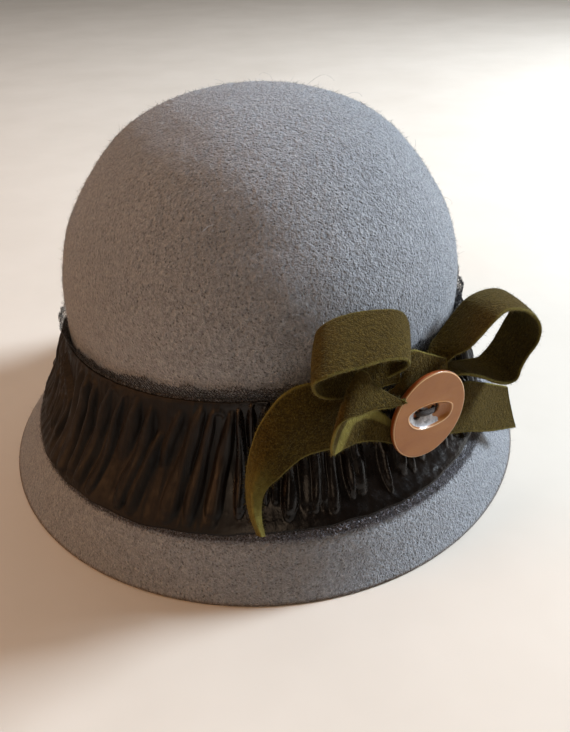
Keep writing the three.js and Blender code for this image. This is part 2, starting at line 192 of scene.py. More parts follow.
def make(name, verts, faces, mats, node=None, slot=None, smooth=True, mat_index=None, attrs=None):
    """A mesh piece from millimetre points; faces is an integer array or a list of lists."""
    v = np.asarray(verts, float) * MM
    me = bpy.data.meshes.new(name)
    if isinstance(faces, np.ndarray):
        n, k = faces.shape
        me.vertices.add(len(v))
        me.vertices.foreach_set("co", v.ravel())
        me.loops.add(n * k)
        me.loops.foreach_set("vertex_index", faces.ravel().astype(np.int32))
        me.polygons.add(n)
        me.polygons.foreach_set("loop_start", np.arange(0, n * k, k, dtype=np.int32))
        me.update(calc_edges=True)
        me.validate()
    else:
        me.from_pydata([tuple(p) for p in v], [], [tuple(f) for f in faces])
        me.update()
    me.polygons.foreach_set("use_smooth", np.full(len(me.polygons), bool(smooth)))
    for key, val in (attrs or {}).items():
        a = me.attributes.new(key, "FLOAT", "POINT")
        a.data.foreach_set("value", np.asarray(val, np.float32))
    o = bpy.data.objects.new(name, me)
    bpy.context.scene.collection.objects.link(o)
    for m in mats if isinstance(mats, (list, tuple)) else [mats]:
        me.materials.append(m)
    if mat_index is not None:
        me.polygons.foreach_set("material_index", np.asarray(mat_index, np.int32))
    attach(o, "root")
    if node:
        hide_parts(*([node] if isinstance(node, str) else node))
    return o


def grid_faces(rows, cols, wrap_cols=False, wrap_rows=False, flip=False, base=0):
    r = np.arange(rows if wrap_rows else rows - 1)
    c = np.arange(cols if wrap_cols else cols - 1)
    R, C = np.meshgrid(r, c, indexing="ij")
    R2, C2 = (R + 1) % rows, (C + 1) % cols
    q = np.stack([R * cols + C, R * cols + C2, R2 * cols + C2, R2 * cols + C], -1).reshape(-1, 4) + base
    return q[:, ::-1].copy() if flip else q


def spline(points, steps, ghost_end=None):
    """Catmull-Rom through rows of numbers, centripetal in the first three columns."""
    P = [np.asarray(p, float) for p in points]
    P = [2 * P[0] - P[1]] + P + [2 * P[-1] - P[-2] if ghost_end is None else np.asarray(ghost_end, float)]
    out = []
    for i in range(1, len(P) - 2):
        p0, p1, p2, p3 = P[i - 1:i + 3]
        t = [0.0]
        for a, b in ((p0, p1), (p1, p2), (p2, p3)):
            t.append(t[-1] + max(1e-6, np.linalg.norm((b - a)[:3])) ** 0.5)
        for s in range(steps):
            u = t[1] + (t[2] - t[1]) * s / steps
            A1 = (t[1] - u) / (t[1] - t[0]) * p0 + (u - t[0]) / (t[1] - t[0]) * p1
            A2 = (t[2] - u) / (t[2] - t[1]) * p1 + (u - t[1]) / (t[2] - t[1]) * p2
            A3 = (t[3] - u) / (t[3] - t[2]) * p2 + (u - t[2]) / (t[3] - t[2]) * p3
            B1 = (t[2] - u) / (t[2] - t[0]) * A1 + (u - t[0]) / (t[2] - t[0]) * A2
            B2 = (t[3] - u) / (t[3] - t[1]) * A2 + (u - t[1]) / (t[3] - t[1]) * A3
            out.append((t[2] - u) / (t[2] - t[1]) * B1 + (u - t[1]) / (t[2] - t[1]) * B2)
    out.append(P[-2])
    return np.array(out)


def lattice(seed, n=64):
    return rng(seed).rand(n, n, n)


_LAT = {}
def noise3(p, freq, seed=1):
    """Smooth value noise, -1 to 1, at millimetre points p with freq cells per mm."""
    if seed not in _LAT:
        _LAT[seed] = lattice(seed, 32)
    L = _LAT[seed]
    q = np.asarray(p, float) * freq + 101.3
    i = np.floor(q).astype(int)
    f = q - i
    f = f * f * (3 - 2 * f)
    i %= 32
    j = (i + 1) % 32
    def at(a, b, c):
        return L[a, b, c]
    x0 = at(i[..., 0], i[..., 1], i[..., 2]) * (1 - f[..., 0]) + at(j[..., 0], i[..., 1], i[..., 2]) * f[..., 0]
    x1 = at(i[..., 0], j[..., 1], i[..., 2]) * (1 - f[..., 0]) + at(j[..., 0], j[..., 1], i[..., 2]) * f[..., 0]
    x2 = at(i[..., 0], i[..., 1], j[..., 2]) * (1 - f[..., 0]) + at(j[..., 0], i[..., 1], j[..., 2]) * f[..., 0]
    x3 = at(i[..., 0], j[..., 1], j[..., 2]) * (1 - f[..., 0]) + at(j[..., 0], j[..., 1], j[..., 2]) * f[..., 0]
    y0 = x0 * (1 - f[..., 1]) + x1 * f[..., 1]
    y1 = x2 * (1 - f[..., 1]) + x3 * f[..., 1]
    return 2 * (y0 * (1 - f[..., 2]) + y1 * f[..., 2]) - 1


def smoothstep(a, b, x):
    t = np.clip((np.asarray(x, float) - a) / (b - a), 0, 1)
    return t * t * (3 - 2 * t)


def normals_of(v, q):
    """Vertex normals of a quad or triangle mesh."""
    a, b, c = v[q[:, 0]], v[q[:, 1]], v[q[:, 2]]
    n = np.cross(b - a, c - a)
    if q.shape[1] == 4:
        n = n + np.cross(c - a, v[q[:, 3]] - a)
    out = np.zeros_like(v)
    for k in range(q.shape[1]):
        np.add.at(out, q[:, k], n)
    return out / np.maximum(np.linalg.norm(out, axis=1, keepdims=True), 1e-12)


def fibres(roots, dirs, length, width, seed, curl=0.5, droop=None, segs=3):
    """Thin tapering ribbons, one for each root: points and faces."""
    r = rng(seed)
    n = len(roots)
    d = dirs / np.linalg.norm(dirs, axis=1, keepdims=True)
    side = np.cross(d, r.normal(size=(n, 3)))
    side /= np.maximum(np.linalg.norm(side, axis=1, keepdims=True), 1e-9)
    bend = np.cross(side, d) * (r.rand(n, 1) - 0.5) * 2 * curl + side * (r.rand(n, 1) - 0.5) * curl
    L = np.broadcast_to(length, n)[:, None]
    W = np.broadcast_to(width, n)[:, None]
    pts = []
    for s in range(segs):
        t = s / segs
        c = roots + d * L * t + bend * L * t * t
        w = side * W * 0.5 * (1 - 0.6 * t)
        pts += [c - w, c + w]
    tip = roots + d * L + bend * L
    P = np.stack(pts + [tip], 1)
    k = 2 * segs + 1
    base = (np.arange(n) * k)[:, None]
    tris = []
    for s in range(segs - 1):
        a = 2 * s
        tris += [[a, a + 1, a + 3], [a, a + 3, a + 2]]
    a = 2 * (segs - 1)
    tris += [[a, a + 1, a + 2]]
    F = np.concatenate([base + np.array(t)[None] for t in tris])
    return P.reshape(-1, 3), F


def sample(v, q, n, seed, weight=None):
    """n points spread over a mesh, with normals."""
    t = np.concatenate([q[:, [0, 1, 2]], q[:, [0, 2, 3]]]) if q.shape[1] == 4 else q
    a, b, c = v[t[:, 0]], v[t[:, 1]], v[t[:, 2]]
    cr = np.cross(b - a, c - a)
    ar = np.linalg.norm(cr, axis=1)
    if weight is not None:
        ar = ar * weight[t].mean(1)
    r = rng(seed)
    i = r.choice(len(ar), n, p=ar / ar.sum())
    u, w = r.rand(2, n, 1)
    m = (u + w > 1)
    u, w = np.where(m, 1 - u, u), np.where(m, 1 - w, w)
    nn = cr[i] / np.maximum(np.linalg.norm(cr[i], axis=1, keepdims=True), 1e-12)
    return a[i] + u * (b[i] - a[i]) + w * (c[i] - a[i]), nn


# ------------------------------------------------------------------ node helpers
def new_mat(name):
    m = bpy.data.materials.new(name)
    m.use_nodes = True
    nt = m.node_tree
    nt.nodes.clear()
    out = nt.nodes.new("ShaderNodeOutputMaterial")
    b = nt.nodes.new("ShaderNodeBsdfPrincipled")
    nt.links.new(b.outputs[0], out.inputs[0])
    return m, nt, b


def coords(nt, scale=(1, 1, 1), rot=(0, 0, 0)):
    tc = nt.nodes.new("ShaderNodeTexCoord")
    mp = nt.nodes.new("ShaderNodeMapping")
    mp.inputs["Scale"].default_value = scale
    mp.inputs["Rotation"].default_value = rot
    nt.links.new(tc.outputs["Object"], mp.inputs["Vector"])
    return mp.outputs[0]


def tex_noise(nt, vec, scale, detail=3.0, rough=0.6, dist=0.0):
    n = nt.nodes.new("ShaderNodeTexNoise")
    n.inputs["Scale"].default_value = scale
    n.inputs["Detail"].default_value = detail
    n.inputs["Roughness"].default_value = rough
    n.inputs["Distortion"].default_value = dist
    nt.links.new(vec, n.inputs["Vector"])
    return n.outputs[0]


def tex_cells(nt, vec, scale, feature="F1", rand=1.0):
    n = nt.nodes.new("ShaderNodeTexVoronoi")
    n.feature = feature
    n.inputs["Scale"].default_value = scale
    n.inputs["Randomness"].default_value = rand
    nt.links.new(vec, n.inputs["Vector"])
    return n.outputs["Distance"]


def ramp(nt, fac, stops):
    r = nt.nodes.new("ShaderNodeValToRGB")
    e = r.color_ramp.elements
    while len(e) < len(stops):
        e.new(0.5)
    for el, (p, c) in zip(e, stops):
        el.position = p
        el.color = (c, c, c, 1) if isinstance(c, (int, float)) else (*c, 1)
    nt.links.new(fac, r.inputs[0])
    return r.outputs[0]


def mix(nt, fac, a, b, mode="MIX"):
    n = nt.nodes.new("ShaderNodeMix")
    n.data_type = "RGBA"
    n.blend_type = mode
    if isinstance(fac, (int, float)):
        n.inputs[0].default_value = fac
    else:
        nt.links.new(fac, n.inputs[0])
    for s, v in ((6, a), (7, b)):
        if isinstance(v, tuple):
            n.inputs[s].default_value = (*v, 1)
        else:
            nt.links.new(v, n.inputs[s])
    return n.outputs[2]


def maths(nt, op, a, b=0.0):
    n = nt.nodes.new("ShaderNodeMath")
    n.operation = op
    for s, v in ((0, a), (1, b)):
        if isinstance(v, (int, float)):
            n.inputs[s].default_value = v
        else:
            nt.links.new(v, n.inputs[s])
    return n.outputs[0]


def attr(nt, name):
    n = nt.nodes.new("ShaderNodeAttribute")
    n.attribute_name = name
    return n.outputs["Fac"]


def bump(nt, b, height, strength, distance, chain=None):
    n = nt.nodes.new("ShaderNodeBump")
    n.inputs["Strength"].default_value = strength
    n.inputs["Distance"].default_value = distance
    nt.links.new(height, n.inputs["Height"])
    if chain is not None:
        nt.links.new(chain, n.inputs["Normal"])
    nt.links.new(n.outputs[0], b.inputs["Normal"])
    return n.outputs[0]


def setup(b, rough=0.9, sheen=0.0, sheen_rough=0.5, sheen_tint=(1, 1, 1), spec=0.5, coat=0.0, coat_rough=0.1, metal=0.0, ior=1.45, sss=0.0):
    b.inputs["Roughness"].default_value = rough
    b.inputs["Sheen Weight"].default_value = sheen
    b.inputs["Sheen Roughness"].default_value = sheen_rough
    b.inputs["Sheen Tint"].default_value = (*sheen_tint, 1)
    b.inputs["Specular IOR Level"].default_value = spec
    b.inputs["Coat Weight"].default_value = coat
    b.inputs["Coat Roughness"].default_value = coat_rough
    b.inputs["Metallic"].default_value = metal
    b.inputs["IOR"].default_value = ior
    if sss:
        b.inputs["Subsurface Weight"].default_value = sss
        b.inputs["Subsurface Radius"].default_value = (0.004, 0.002, 0.001)
        b.inputs["Subsurface Scale"].default_value = 1.0


# ------------------------------------------------------------------ materials
def mat_felt():
    m, nt, b = new_mat("felt_grey")
    setup(b, rough=0.95, sheen=0.30, sheen_rough=0.45, sheen_tint=(0.95, 0.97, 1.0), spec=0.12)
    c = coords(nt)
    fine = tex_noise(nt, c, 1250, 2.0, 0.75)
    grain = tex_noise(nt, c, 520, 3.0, 0.70)
    streak = tex_noise(nt, coords(nt, (1, 1, 0.45), (0.5, 0.4, 0.2)), 900, 2.0, 0.6, 0.8)
    pits = tex_cells(nt, c, 640)
    patch = tex_noise(nt, c, 26, 3.0, 0.5)
    col = ramp(nt, grain, [(0.34, (0.135, 0.142, 0.155)), (0.50, (0.245, 0.258, 0.280)), (0.66, (0.385, 0.400, 0.425))])
    col = mix(nt, 0.5, col, ramp(nt, fine, [(0.36, (0.115, 0.122, 0.135)), (0.5, (0.255, 0.268, 0.290)), (0.64, (0.46, 0.475, 0.50))]))
    col = mix(nt, 0.35, col, ramp(nt, streak, [(0.40, (0.16, 0.168, 0.185)), (0.60, (0.37, 0.385, 0.41))]))
    col = mix(nt, ramp(nt, pits, [(0.10, 0.75), (0.30, 0.0)]), col, (0.085, 0.085, 0.092))
    col = mix(nt, ramp(nt, patch, [(0.35, 0.0), (0.7, 0.3)]), col, (0.20, 0.218, 0.250))
    # painted shade: where the edge attribute is set, the brim's resting edge is painted dark warm brown, a contact
    # shadow against the floor
    col = mix(nt, attr(nt, "edge"), col, (0.11, 0.075, 0.05))
    nt.links.new(col, b.inputs["Base Color"])
    h = maths(nt, "ADD", maths(nt, "MULTIPLY", grain, 0.9), maths(nt, "MULTIPLY", fine, 0.5))
    h = maths(nt, "ADD", h, maths(nt, "MULTIPLY", ramp(nt, pits, [(0.08, 0.0), (0.34, 1.0)]), 0.28))
    bump(nt, b, h, 1.0, 0.0021)
    return m


def mat_fibre(name, col_a, col_b, scale=900):
    m, nt, b = new_mat(name)
    setup(b, rough=0.8, sheen=0.2, spec=0.2)
    n = tex_noise(nt, coords(nt), scale, 1.0, 0.5)
    nt.links.new(ramp(nt, n, [(0.35, col_a), (0.65, col_b)]), b.inputs["Base Color"])
    return m


def mat_satin():
    m, nt, b = new_mat("satin_dark")
    setup(b, rough=0.42, sheen=0.02, sheen_rough=0.3, sheen_tint=(0.9, 0.8, 0.7), spec=0.28)
    c = coords(nt)
    blot = tex_noise(nt, c, 60, 4.0, 0.6)
    nt.links.new(ramp(nt, blot, [(0.3, (0.0028, 0.0017, 0.0012)), (0.7, (0.0081, 0.0050, 0.0034))]), b.inputs["Base Color"])
    dull = ramp(nt, tex_noise(nt, c, 240, 3.0, 0.6), [(0.3, 0.50), (0.7, 0.72)])
    shiny = ramp(nt, tex_noise(nt, c, 300, 3.0, 0.6), [(0.35, 0.16), (0.7, 0.33)])
    rg = mix(nt, attr(nt, "gloss"), dull, shiny)
    nt.links.new(rg, b.inputs["Roughness"])
    thread = tex_noise(nt, coords(nt, (1, 1, 0.12)), 1500, 2.0, 0.6)
    crease = tex_noise(nt, coords(nt, (1, 1, 0.22)), 330, 3.0, 0.6, 0.4)
    ch = bump(nt, b, crease, 0.40, 0.0006)
    bump(nt, b, thread, 0.25, 0.0002, ch)
    return m


def mat_net(name="net_black", light=0.0, spec=0.5):
    m, nt, b = new_mat(name)
    setup(b, rough=0.38, sheen=0.1, spec=spec)
    n = tex_noise(nt, coords(nt), 1400, 1.0, 0.5)
    k = 1 + light
    # the palest stop paints sparkle highlights on the strands; light scales the ramp into painted lit and shaded copies
    nt.links.new(ramp(nt, n, [(0.35, (0.008 * k, 0.007 * k, 0.008 * k)), (0.60, (0.026 * k, 0.025 * k, 0.030 * k)), (0.76, (0.13 * k, 0.14 * k, 0.17 * k))]), b.inputs["Base Color"])
    return m


def mat_net_ply():
    m, nt, b = new_mat("net_ply")
    setup(b, rough=0.5, sheen=0.15, spec=0.4)
    c = coords(nt)
    cell = tex_cells(nt, c, 900, "DISTANCE_TO_EDGE")
    # the cell edges draw the net's own mesh; their pale blue-grey is painted sparkle highlight, and the cells between
    # stay near black
    col = ramp(nt, cell, [(0.0, (0.17, 0.18, 0.205)), (0.10, (0.07, 0.072, 0.080)), (0.22, (0.014, 0.013, 0.014))])
    nt.links.new(col, b.inputs["Base Color"])
    bump(nt, b, ramp(nt, cell, [(0.0, 1.0), (0.15, 0.0)]), 0.8, 0.0003)
    return m


def mat_olive():
    m, nt, b = new_mat("felt_olive")
    setup(b, rough=0.92, sheen=0.18, sheen_rough=0.35, sheen_tint=(0.70, 0.60, 0.25), spec=0.08)
    c = coords(nt)
    fine = tex_noise(nt, c, 1700, 2.0, 0.7)
    grain = tex_noise(nt, c, 700, 3.0, 0.65)
    patch = tex_noise(nt, c, 75, 3.0, 0.55)
    col = ramp(nt, grain, [(0.32, (0.0132, 0.0082, 0.0014)), (0.50, (0.0395, 0.0254, 0.0043)), (0.70, (0.0940, 0.0615, 0.0108))])
    col = mix(nt, 0.5, col, ramp(nt, fine, [(0.35, (0.0113, 0.0074, 0.0014)), (0.5, (0.0414, 0.0271, 0.0050)), (0.66, (0.1147, 0.0754, 0.0144))]))
    col = mix(nt, ramp(nt, patch, [(0.4, 0.0), (0.75, 0.4)]), col, (0.0470, 0.0279, 0.0065))
    # painted highlight: the edge weight paints the strips pale olive along their cut edges and ends, and on their lit
    # turned and lower faces
    edge = attr(nt, "edge")
    col = mix(nt, edge, col, (0.190, 0.160, 0.040))
    nt.links.new(col, b.inputs["Base Color"])
    h = maths(nt, "ADD", maths(nt, "MULTIPLY", grain, 0.6), maths(nt, "MULTIPLY", fine, 0.5))
    bump(nt, b, h, 0.9, 0.0014)
    return m


def mat_shell():
    m, nt, b = new_mat("button_shell")
    setup(b, rough=0.28, spec=0.35, coat=0.12, coat_rough=0.10)
    streak = tex_noise(nt, coords(nt, (1, 1, 2.2), (0.15, 0.2, 0.4)), 42, 4.0, 0.5, 0.5)
    fine = tex_noise(nt, coords(nt, (1, 1, 5), (0.1, 0.3, 0.4)), 420, 3.0, 0.6)
    col = ramp(nt, streak, [(0.25, (0.235, 0.076, 0.013)), (0.55, (0.285, 0.105, 0.022)), (0.80, (0.34, 0.140, 0.034))])
    col = mix(nt, ramp(nt, fine, [(0.35, 0.0), (0.8, 0.22)]), col, (0.30, 0.128, 0.056))
    edge = attr(nt, "edge")
    # painted light: a positive edge weight paints a pale highlight along the bevelled rims and the eye's lip; a
    # negative one paints shade on the side wall and the back
    col = mix(nt, maths(nt, "MAXIMUM", edge, 0.0), col, (0.66, 0.42, 0.23))
    col = mix(nt, maths(nt, "MAXIMUM", maths(nt, "MULTIPLY", edge, -1.0), 0.0), col, (0.26, 0.050, 0.010))
    nt.links.new(col, b.inputs["Base Color"])
    bump(nt, b, fine, 0.08, 0.0002)
    return m


def mat_pearl():
    m, nt, b = new_mat("button_pearl")
    setup(b, rough=0.45, spec=0.4, coat=0.12, coat_rough=0.3, metal=0.05)
    c = coords(nt, (1, 1, 1), (0.4, 0.2, 0.9))
    n = tex_noise(nt, c, 330, 4.0, 0.6, 1.2)
    nt.links.new(ramp(nt, n, [(0.25, (0.08, 0.075, 0.08)), (0.45, (0.24, 0.235, 0.245)), (0.62, (0.46, 0.45, 0.46)), (0.85, (0.26, 0.20, 0.17))]), b.inputs["Base Color"])
    bump(nt, b, n, 0.35, 0.0005)
    return m


def mat_thread():
    m, nt, b = new_mat("thread_dark")
    setup(b, rough=0.6, sheen=0.2, spec=0.3)
    n = tex_noise(nt, coords(nt), 2200, 2.0, 0.6)
    nt.links.new(ramp(nt, n, [(0.3, (0.010, 0.007, 0.006)), (0.7, (0.045, 0.030, 0.022))]), b.inputs["Base Color"])
    bump(nt, b, n, 0.5, 0.0002)
    return m


def mat_floor():
    m, nt, b = new_mat("floor")
    setup(b, rough=0.75, spec=0.25)
    n = tex_noise(nt, coords(nt), 9, 4.0, 0.6)
    nt.links.new(ramp(nt, n, [(0.3, (0.60, 0.55, 0.485)), (0.7, (0.65, 0.60, 0.535))]), b.inputs["Base Color"])
    return m


FELT_GREY = mat_felt()
NAP_GREY = mat_fibre("felt_nap_grey", (0.24, 0.25, 0.27), (0.56, 0.57, 0.59))
SATIN = mat_satin()
# lit and shaded copies of one net: the upper strands painted darker as painted shade, the lower ones painted paler with
# sparkle highlights; GLINT is the brightest copy, for the painted glints
NET, NET_PLY = mat_net("net_black", -0.6, 0.15), mat_net_ply()
NET_PAINTED_LIT = mat_net("net_painted_sparkle", 2.6)
GLINT = mat_net("net_glint", 3.0)
OLIVE = mat_olive()
NAP_OLIVE = mat_fibre("felt_nap_olive", (0.045, 0.036, 0.008), (0.17, 0.135, 0.034))
SHELL, PEARL, THREAD = mat_shell(), mat_pearl(), mat_thread()

# ------------------------------------------------------------------ hood surface
_rows = [(z, a, b_, cx, cy, e) for z, a, b_, cx, cy, e in BELL]
_rows += [(WAIST_Z + (TOP_Z - WAIST_Z) * up, CROWN_HALF[0] * s, CROWN_HALF[1] * s, *CROWN_AT, 2.0) for up, s in CROWN]
_ghost = (_rows[-2][0], -_rows[-2][1], -_rows[-2][2], *CROWN_AT, 2.0)
PROFILE = spline(_rows, 16, _ghost)  # z, a, b, cx, cy, e
_sub = PROFILE[PROFILE[:, 0] <= 140]
_order = np.argsort(_sub[:, 0])
_sub = _sub[_order]


def felt_row(z):
    return [np.interp(z, _sub[:, 0], _sub[:, k]) for k in range(1, 6)]


def felt_at(theta, z, off):
    """Points a horizontal distance off the outer felt at angles theta and heights z."""
    a, b_, cx, cy, e = felt_row(z)
    c, s = np.cos(theta), np.sin(theta)
    k = (np.abs(c) ** e + np.abs(s) ** e) ** (-1 / e)
    w = np.clip(np.cos(theta - BRIM_WIDE_AT), 0, 1) ** 6 * BRIM_WIDE * np.clip(1 - z / 23, 0, 1)
    return np.stack([cx + (a + off + w) * k * c, cy + (b_ + off + w) * k * s, z + 0 * theta], -1)


def build_hood():
    cols = 300
    # even steps along the profile
    pr = PROFILE
    L = np.concatenate([[0], np.cumsum(np.hypot(np.diff(pr[:, 0]), np.diff(pr[:, 1])))])
    n_out = 118
    want = np.concatenate([np.linspace(0, L[-1] - 0.8, n_out)])
    rows = np.stack([np.interp(want, L, pr[:, k]) for k in range(6)], 1)
    th = np.linspace(0, 2 * np.pi, cols, endpoint=False)
    def ring(row, off=0.0):
        z, a, b_, cx, cy, e = row
        c, s = np.cos(th), np.sin(th)
        k = (np.abs(c) ** e + np.abs(s) ** e) ** (-1 / e)
        w = np.clip(np.cos(th - BRIM_WIDE_AT), 0, 1) ** 6 * BRIM_WIDE * max(0, 1 - z / 23)
        return np.stack([cx + (a + off + w) * k * c, cy + (b_ + off + w) * k * s, np.full(cols, z)], 1)
    out = np.stack([ring(r) for r in rows])  # n_out, cols, 3
    nrm = normals_of(out.reshape(-1, 3), grid_faces(n_out, cols, True)).reshape(n_out, cols, 3)
    # hand-shaped unevenness, fading to nothing at the resting edge
    P = out.reshape(-1, 3)
    d = 0.45 * noise3(P, 1 / 26, 3) + 0.22 * noise3(P, 1 / 9, 4) + 0.10 * noise3(P, 1 / 3.2, 5)
    d *= smoothstep(0, 7, P[:, 2])
    out = (P + nrm.reshape(-1, 3) * d[:, None]).reshape(n_out, cols, 3)
    pole = np.array([[CROWN_AT[0], CROWN_AT[1], TOP_Z - 0.02]])
    # rounded cut edge at the brim, then the inner wall
    edge, base = [], out[0]
    n0 = nrm[0].copy(); n0[:, 2] = 0; n0 /= np.linalg.norm(n0, axis=1, keepdims=True)
    lift = 0.0
    inner_rows = 44
    idx = np.unique(np.round(np.linspace(0, n_out - 1, inner_rows)).astype(int))
    inner = []
    for i in idx:
        if i == 0:
            q = out[0] - n0 * FELT
            q[:, 2] = 0.55
        else:
            q = out[i] - nrm[i] * FELT
            q[:, 2] = np.maximum(q[:, 2], 0.8)
        inner.append(q)
    inner_pole = np.array([[CROWN_AT[0], CROWN_AT[1], TOP_Z - FELT]])
    out[0][:, 2] = 0.55
    out[0] += 0 * n0
    bottom1 = out[0] - n0 * 0.35; bottom1[:, 2] = 0.08
    bottom2 = out[0] - n0 * 1.1; bottom2[:, 2] = 0.0
    bottom3 = out[0] - n0 * 1.85; bottom3[:, 2] = 0.08
    loops = [inner_pole] + inner[::-1] + [bottom3, bottom2, bottom1] + list(out) + [pole]
    # assemble: rings from inner pole to outer pole
    rings = inner[::-1] + [bottom3, bottom2, bottom1] + list(out)
    V = np.concatenate(rings + [inner_pole, pole])
    R = len(rings)
    Q = grid_faces(R, cols, True)
    ip, op = R * cols, R * cols + 1
    c = np.arange(cols); c2 = (c + 1) % cols
    tri = [(ip, a, b_) for a, b_ in zip(c2, c)] + [((R - 1) * cols + a, (R - 1) * cols + b_, op) for a, b_ in zip(c, c2)]
    faces = [tuple(q) for q in Q] + tri
    # painted shade: the rows of the brim's rounded resting edge get the dark contact-shadow colour
    rest_edge_shade = np.zeros(len(V))
    k0 = len(inner)
    rest_edge_shade[k0 * cols:(k0 + 4) * cols] = 1.0
    o = make("felt_hood_cloth", V, faces, FELT_GREY, "felt_hood", "felt_grey", attrs={"edge": rest_edge_shade})
    # which way is out: flip if the volume is negative
    return o, out, nrm


hood, HOOD_OUT, HOOD_N = build_hood()


def check_out(o):
    """Turns faces outward if the closed mesh is inside out."""
    me = o.data
    me.calc_loop_triangles()
    v = np.zeros(len(me.vertices) * 3); me.vertices.foreach_get("co", v); v = v.reshape(-1, 3)
    t = np.zeros(len(me.loop_triangles) * 3, np.int32); me.loop_triangles.foreach_get("vertices", t); t = t.reshape(-1, 3)
    vol = (v[t[:, 0]] * np.cross(v[t[:, 1]], v[t[:, 2]])).sum() / 6
    if vol < 0:
        me.flip_normals()
    return vol


print("hood volume", check_out(hood))

# nap: short fibres standing off the hood's outside
def build_nap():
    n_out, cols = HOOD_OUT.shape[:2]
    P = HOOD_OUT.reshape(-1, 3)
    q = grid_faces(n_out, cols, True)
    z = P[:, 2]
    top = NET_TOP_Z + 0.049 * P[:, 0] - 0.046 * P[:, 1]
    w = np.where((z > 19.0) & (z < top - 1.5), 0.0, 1.0)
    pts, nn = sample(P, q, 34000, 11, w)
    c = np.array([CROWN_AT[0], CROWN_AT[1], 60.0])
    nn *= np.sign(((pts - c) * nn).sum(1, keepdims=True))
    r = rng(12)
    tang = np.cross(nn, r.normal(size=nn.shape))
    tang /= np.linalg.norm(tang, axis=1, keepdims=True)
    lift = r.uniform(0.05, 0.8, (len(pts), 1)) * (r.rand(len(pts), 1) < 0.75) + 0.12
    d = nn * lift + tang
    length = np.clip(r.lognormal(0.30, 0.45, len(pts)), 0.5, 3.6)
    near = smoothstep(13, 21, pts[:, 2]) * (pts[:, 2] < 40)
    length *= 1 - 0.75 * near
    d[:, 2] -= 1.5 * near
    pts = pts - nn * 0.05
    low = (pts[:, 2] < 2.0)
    d[low, 2] = np.abs(d[low, 2]) + 0.3
    v, f = fibres(pts, d, length, r.uniform(0.07, 0.15, len(pts)), 13, curl=0.7)
    v[:, 2] = np.maximum(v[:, 2], 0.05)
    return make("felt_nap", v, f, NAP_GREY, None, "felt_grey", smooth=False)


nap = build_nap()


def tube(path, radius, sides=8, closed=False, caps=True):
    """A tube along points; radius may vary along it."""
    P = np.asarray(path, float)
    n = len(P)
    T = np.gradient(P, axis=0)
    T /= np.linalg.norm(T, axis=1, keepdims=True)
    up = np.array([0.0, 0.0, 1.0])
    if abs(T[0] @ up) > 0.9:
        up = np.array([1.0, 0.0, 0.0])
    N = np.zeros_like(P)
    N[0] = np.cross(T[0], up); N[0] /= np.linalg.norm(N[0])
    for i in range(1, n):
        N[i] = N[i - 1] - T[i] * (N[i - 1] @ T[i])
        N[i] /= np.linalg.norm(N[i])
    B = np.cross(T, N)
    a = np.linspace(0, 2 * np.pi, sides, endpoint=False)
    r = np.broadcast_to(radius, n)[:, None, None]
    V = P[:, None] + r * (N[:, None] * np.cos(a)[None, :, None] + B[:, None] * np.sin(a)[None, :, None])
    F = grid_faces(n, sides, True)
    V = V.reshape(-1, 3)
    faces = [tuple(x) for x in F]
    if caps:
        faces += [tuple(range(sides))[::-1], tuple((n - 1) * sides + k for k in range(sides))]
    return V, faces


# a few long stray hairs lying off the crown
def build_strays():
    V, F, base = [], [], 0
    r = rng(21)
    STRAYS = [  # angle round (degrees), height z, length, lean (degrees)
        (62, 150, 17, 20), (78, 153, 12, 150), (35, 148, 10, 60), (110, 149, 9, 200),
        (150, 138, 8, 20), (12, 128, 7, 300), (-8, 116, 7, 80), (-100, 128, 9, 40),
    ]
    for az, z, length, lean in STRAYS:
        t = math.radians(az)
        row = PROFILE[np.argmin(np.abs(PROFILE[:, 0] - z))]
        root = np.array([row[3] + row[1] * math.cos(t), row[4] + row[2] * math.sin(t), row[0]])
        n = root - np.array([CROWN_AT[0], CROWN_AT[1], 72.0]); n /= np.linalg.norm(n)
        tg = np.cross(n, [0, 0, 1]); tg /= np.linalg.norm(tg)
        side = math.cos(math.radians(lean)) * tg + math.sin(math.radians(lean)) * np.cross(n, tg)
        s = np.linspace(0, 1, 22)[:, None]
        wob = np.sin(s * 7 + r.rand() * 6) * length * 0.06
        path = root + n * (length * 0.42 * np.sin(s * 2.2) ) + side * length * 0.8 * s + np.cross(n, side) * wob
        v, f = tube(path, 0.055 * (1 - 0.5 * s[:, 0]), 5)
        V.append(v); F += [tuple(k + base for k in q) for q in f]; base += len(v)
    return make("felt_stray_hairs", np.concatenate(V), F, NAP_GREY, None, "felt_grey")


strays = build_strays()

# ------------------------------------------------------------------ net band
def top_z(theta):
    a, b_, cx, cy, e = [float(x) for x in felt_row(71.0)]
    x, y = cx + a * np.cos(theta), cy + b_ * np.sin(theta)
    return NET_TOP_Z + 0.049 * x - 0.046 * y


def net_lift(theta):
    """How far the net's top edge stands off the felt: most on the left and back-left."""
    c = np.cos(theta - math.radians(176))
    return 1.2 + 1.9 * np.clip(c, 0, 1) ** 2 + 0.8 * np.clip(np.cos(theta - math.radians(20)), 0, 1) ** 3


def net_point(theta, z, off):
    up = smoothstep(-4.6, 1.5, z - top_z(theta)) * (1 + 0.14 * np.sin(theta * 17 + 2 * np.sin(theta * 5)))
    return felt_at(theta, z, off + net_lift(theta) * up)


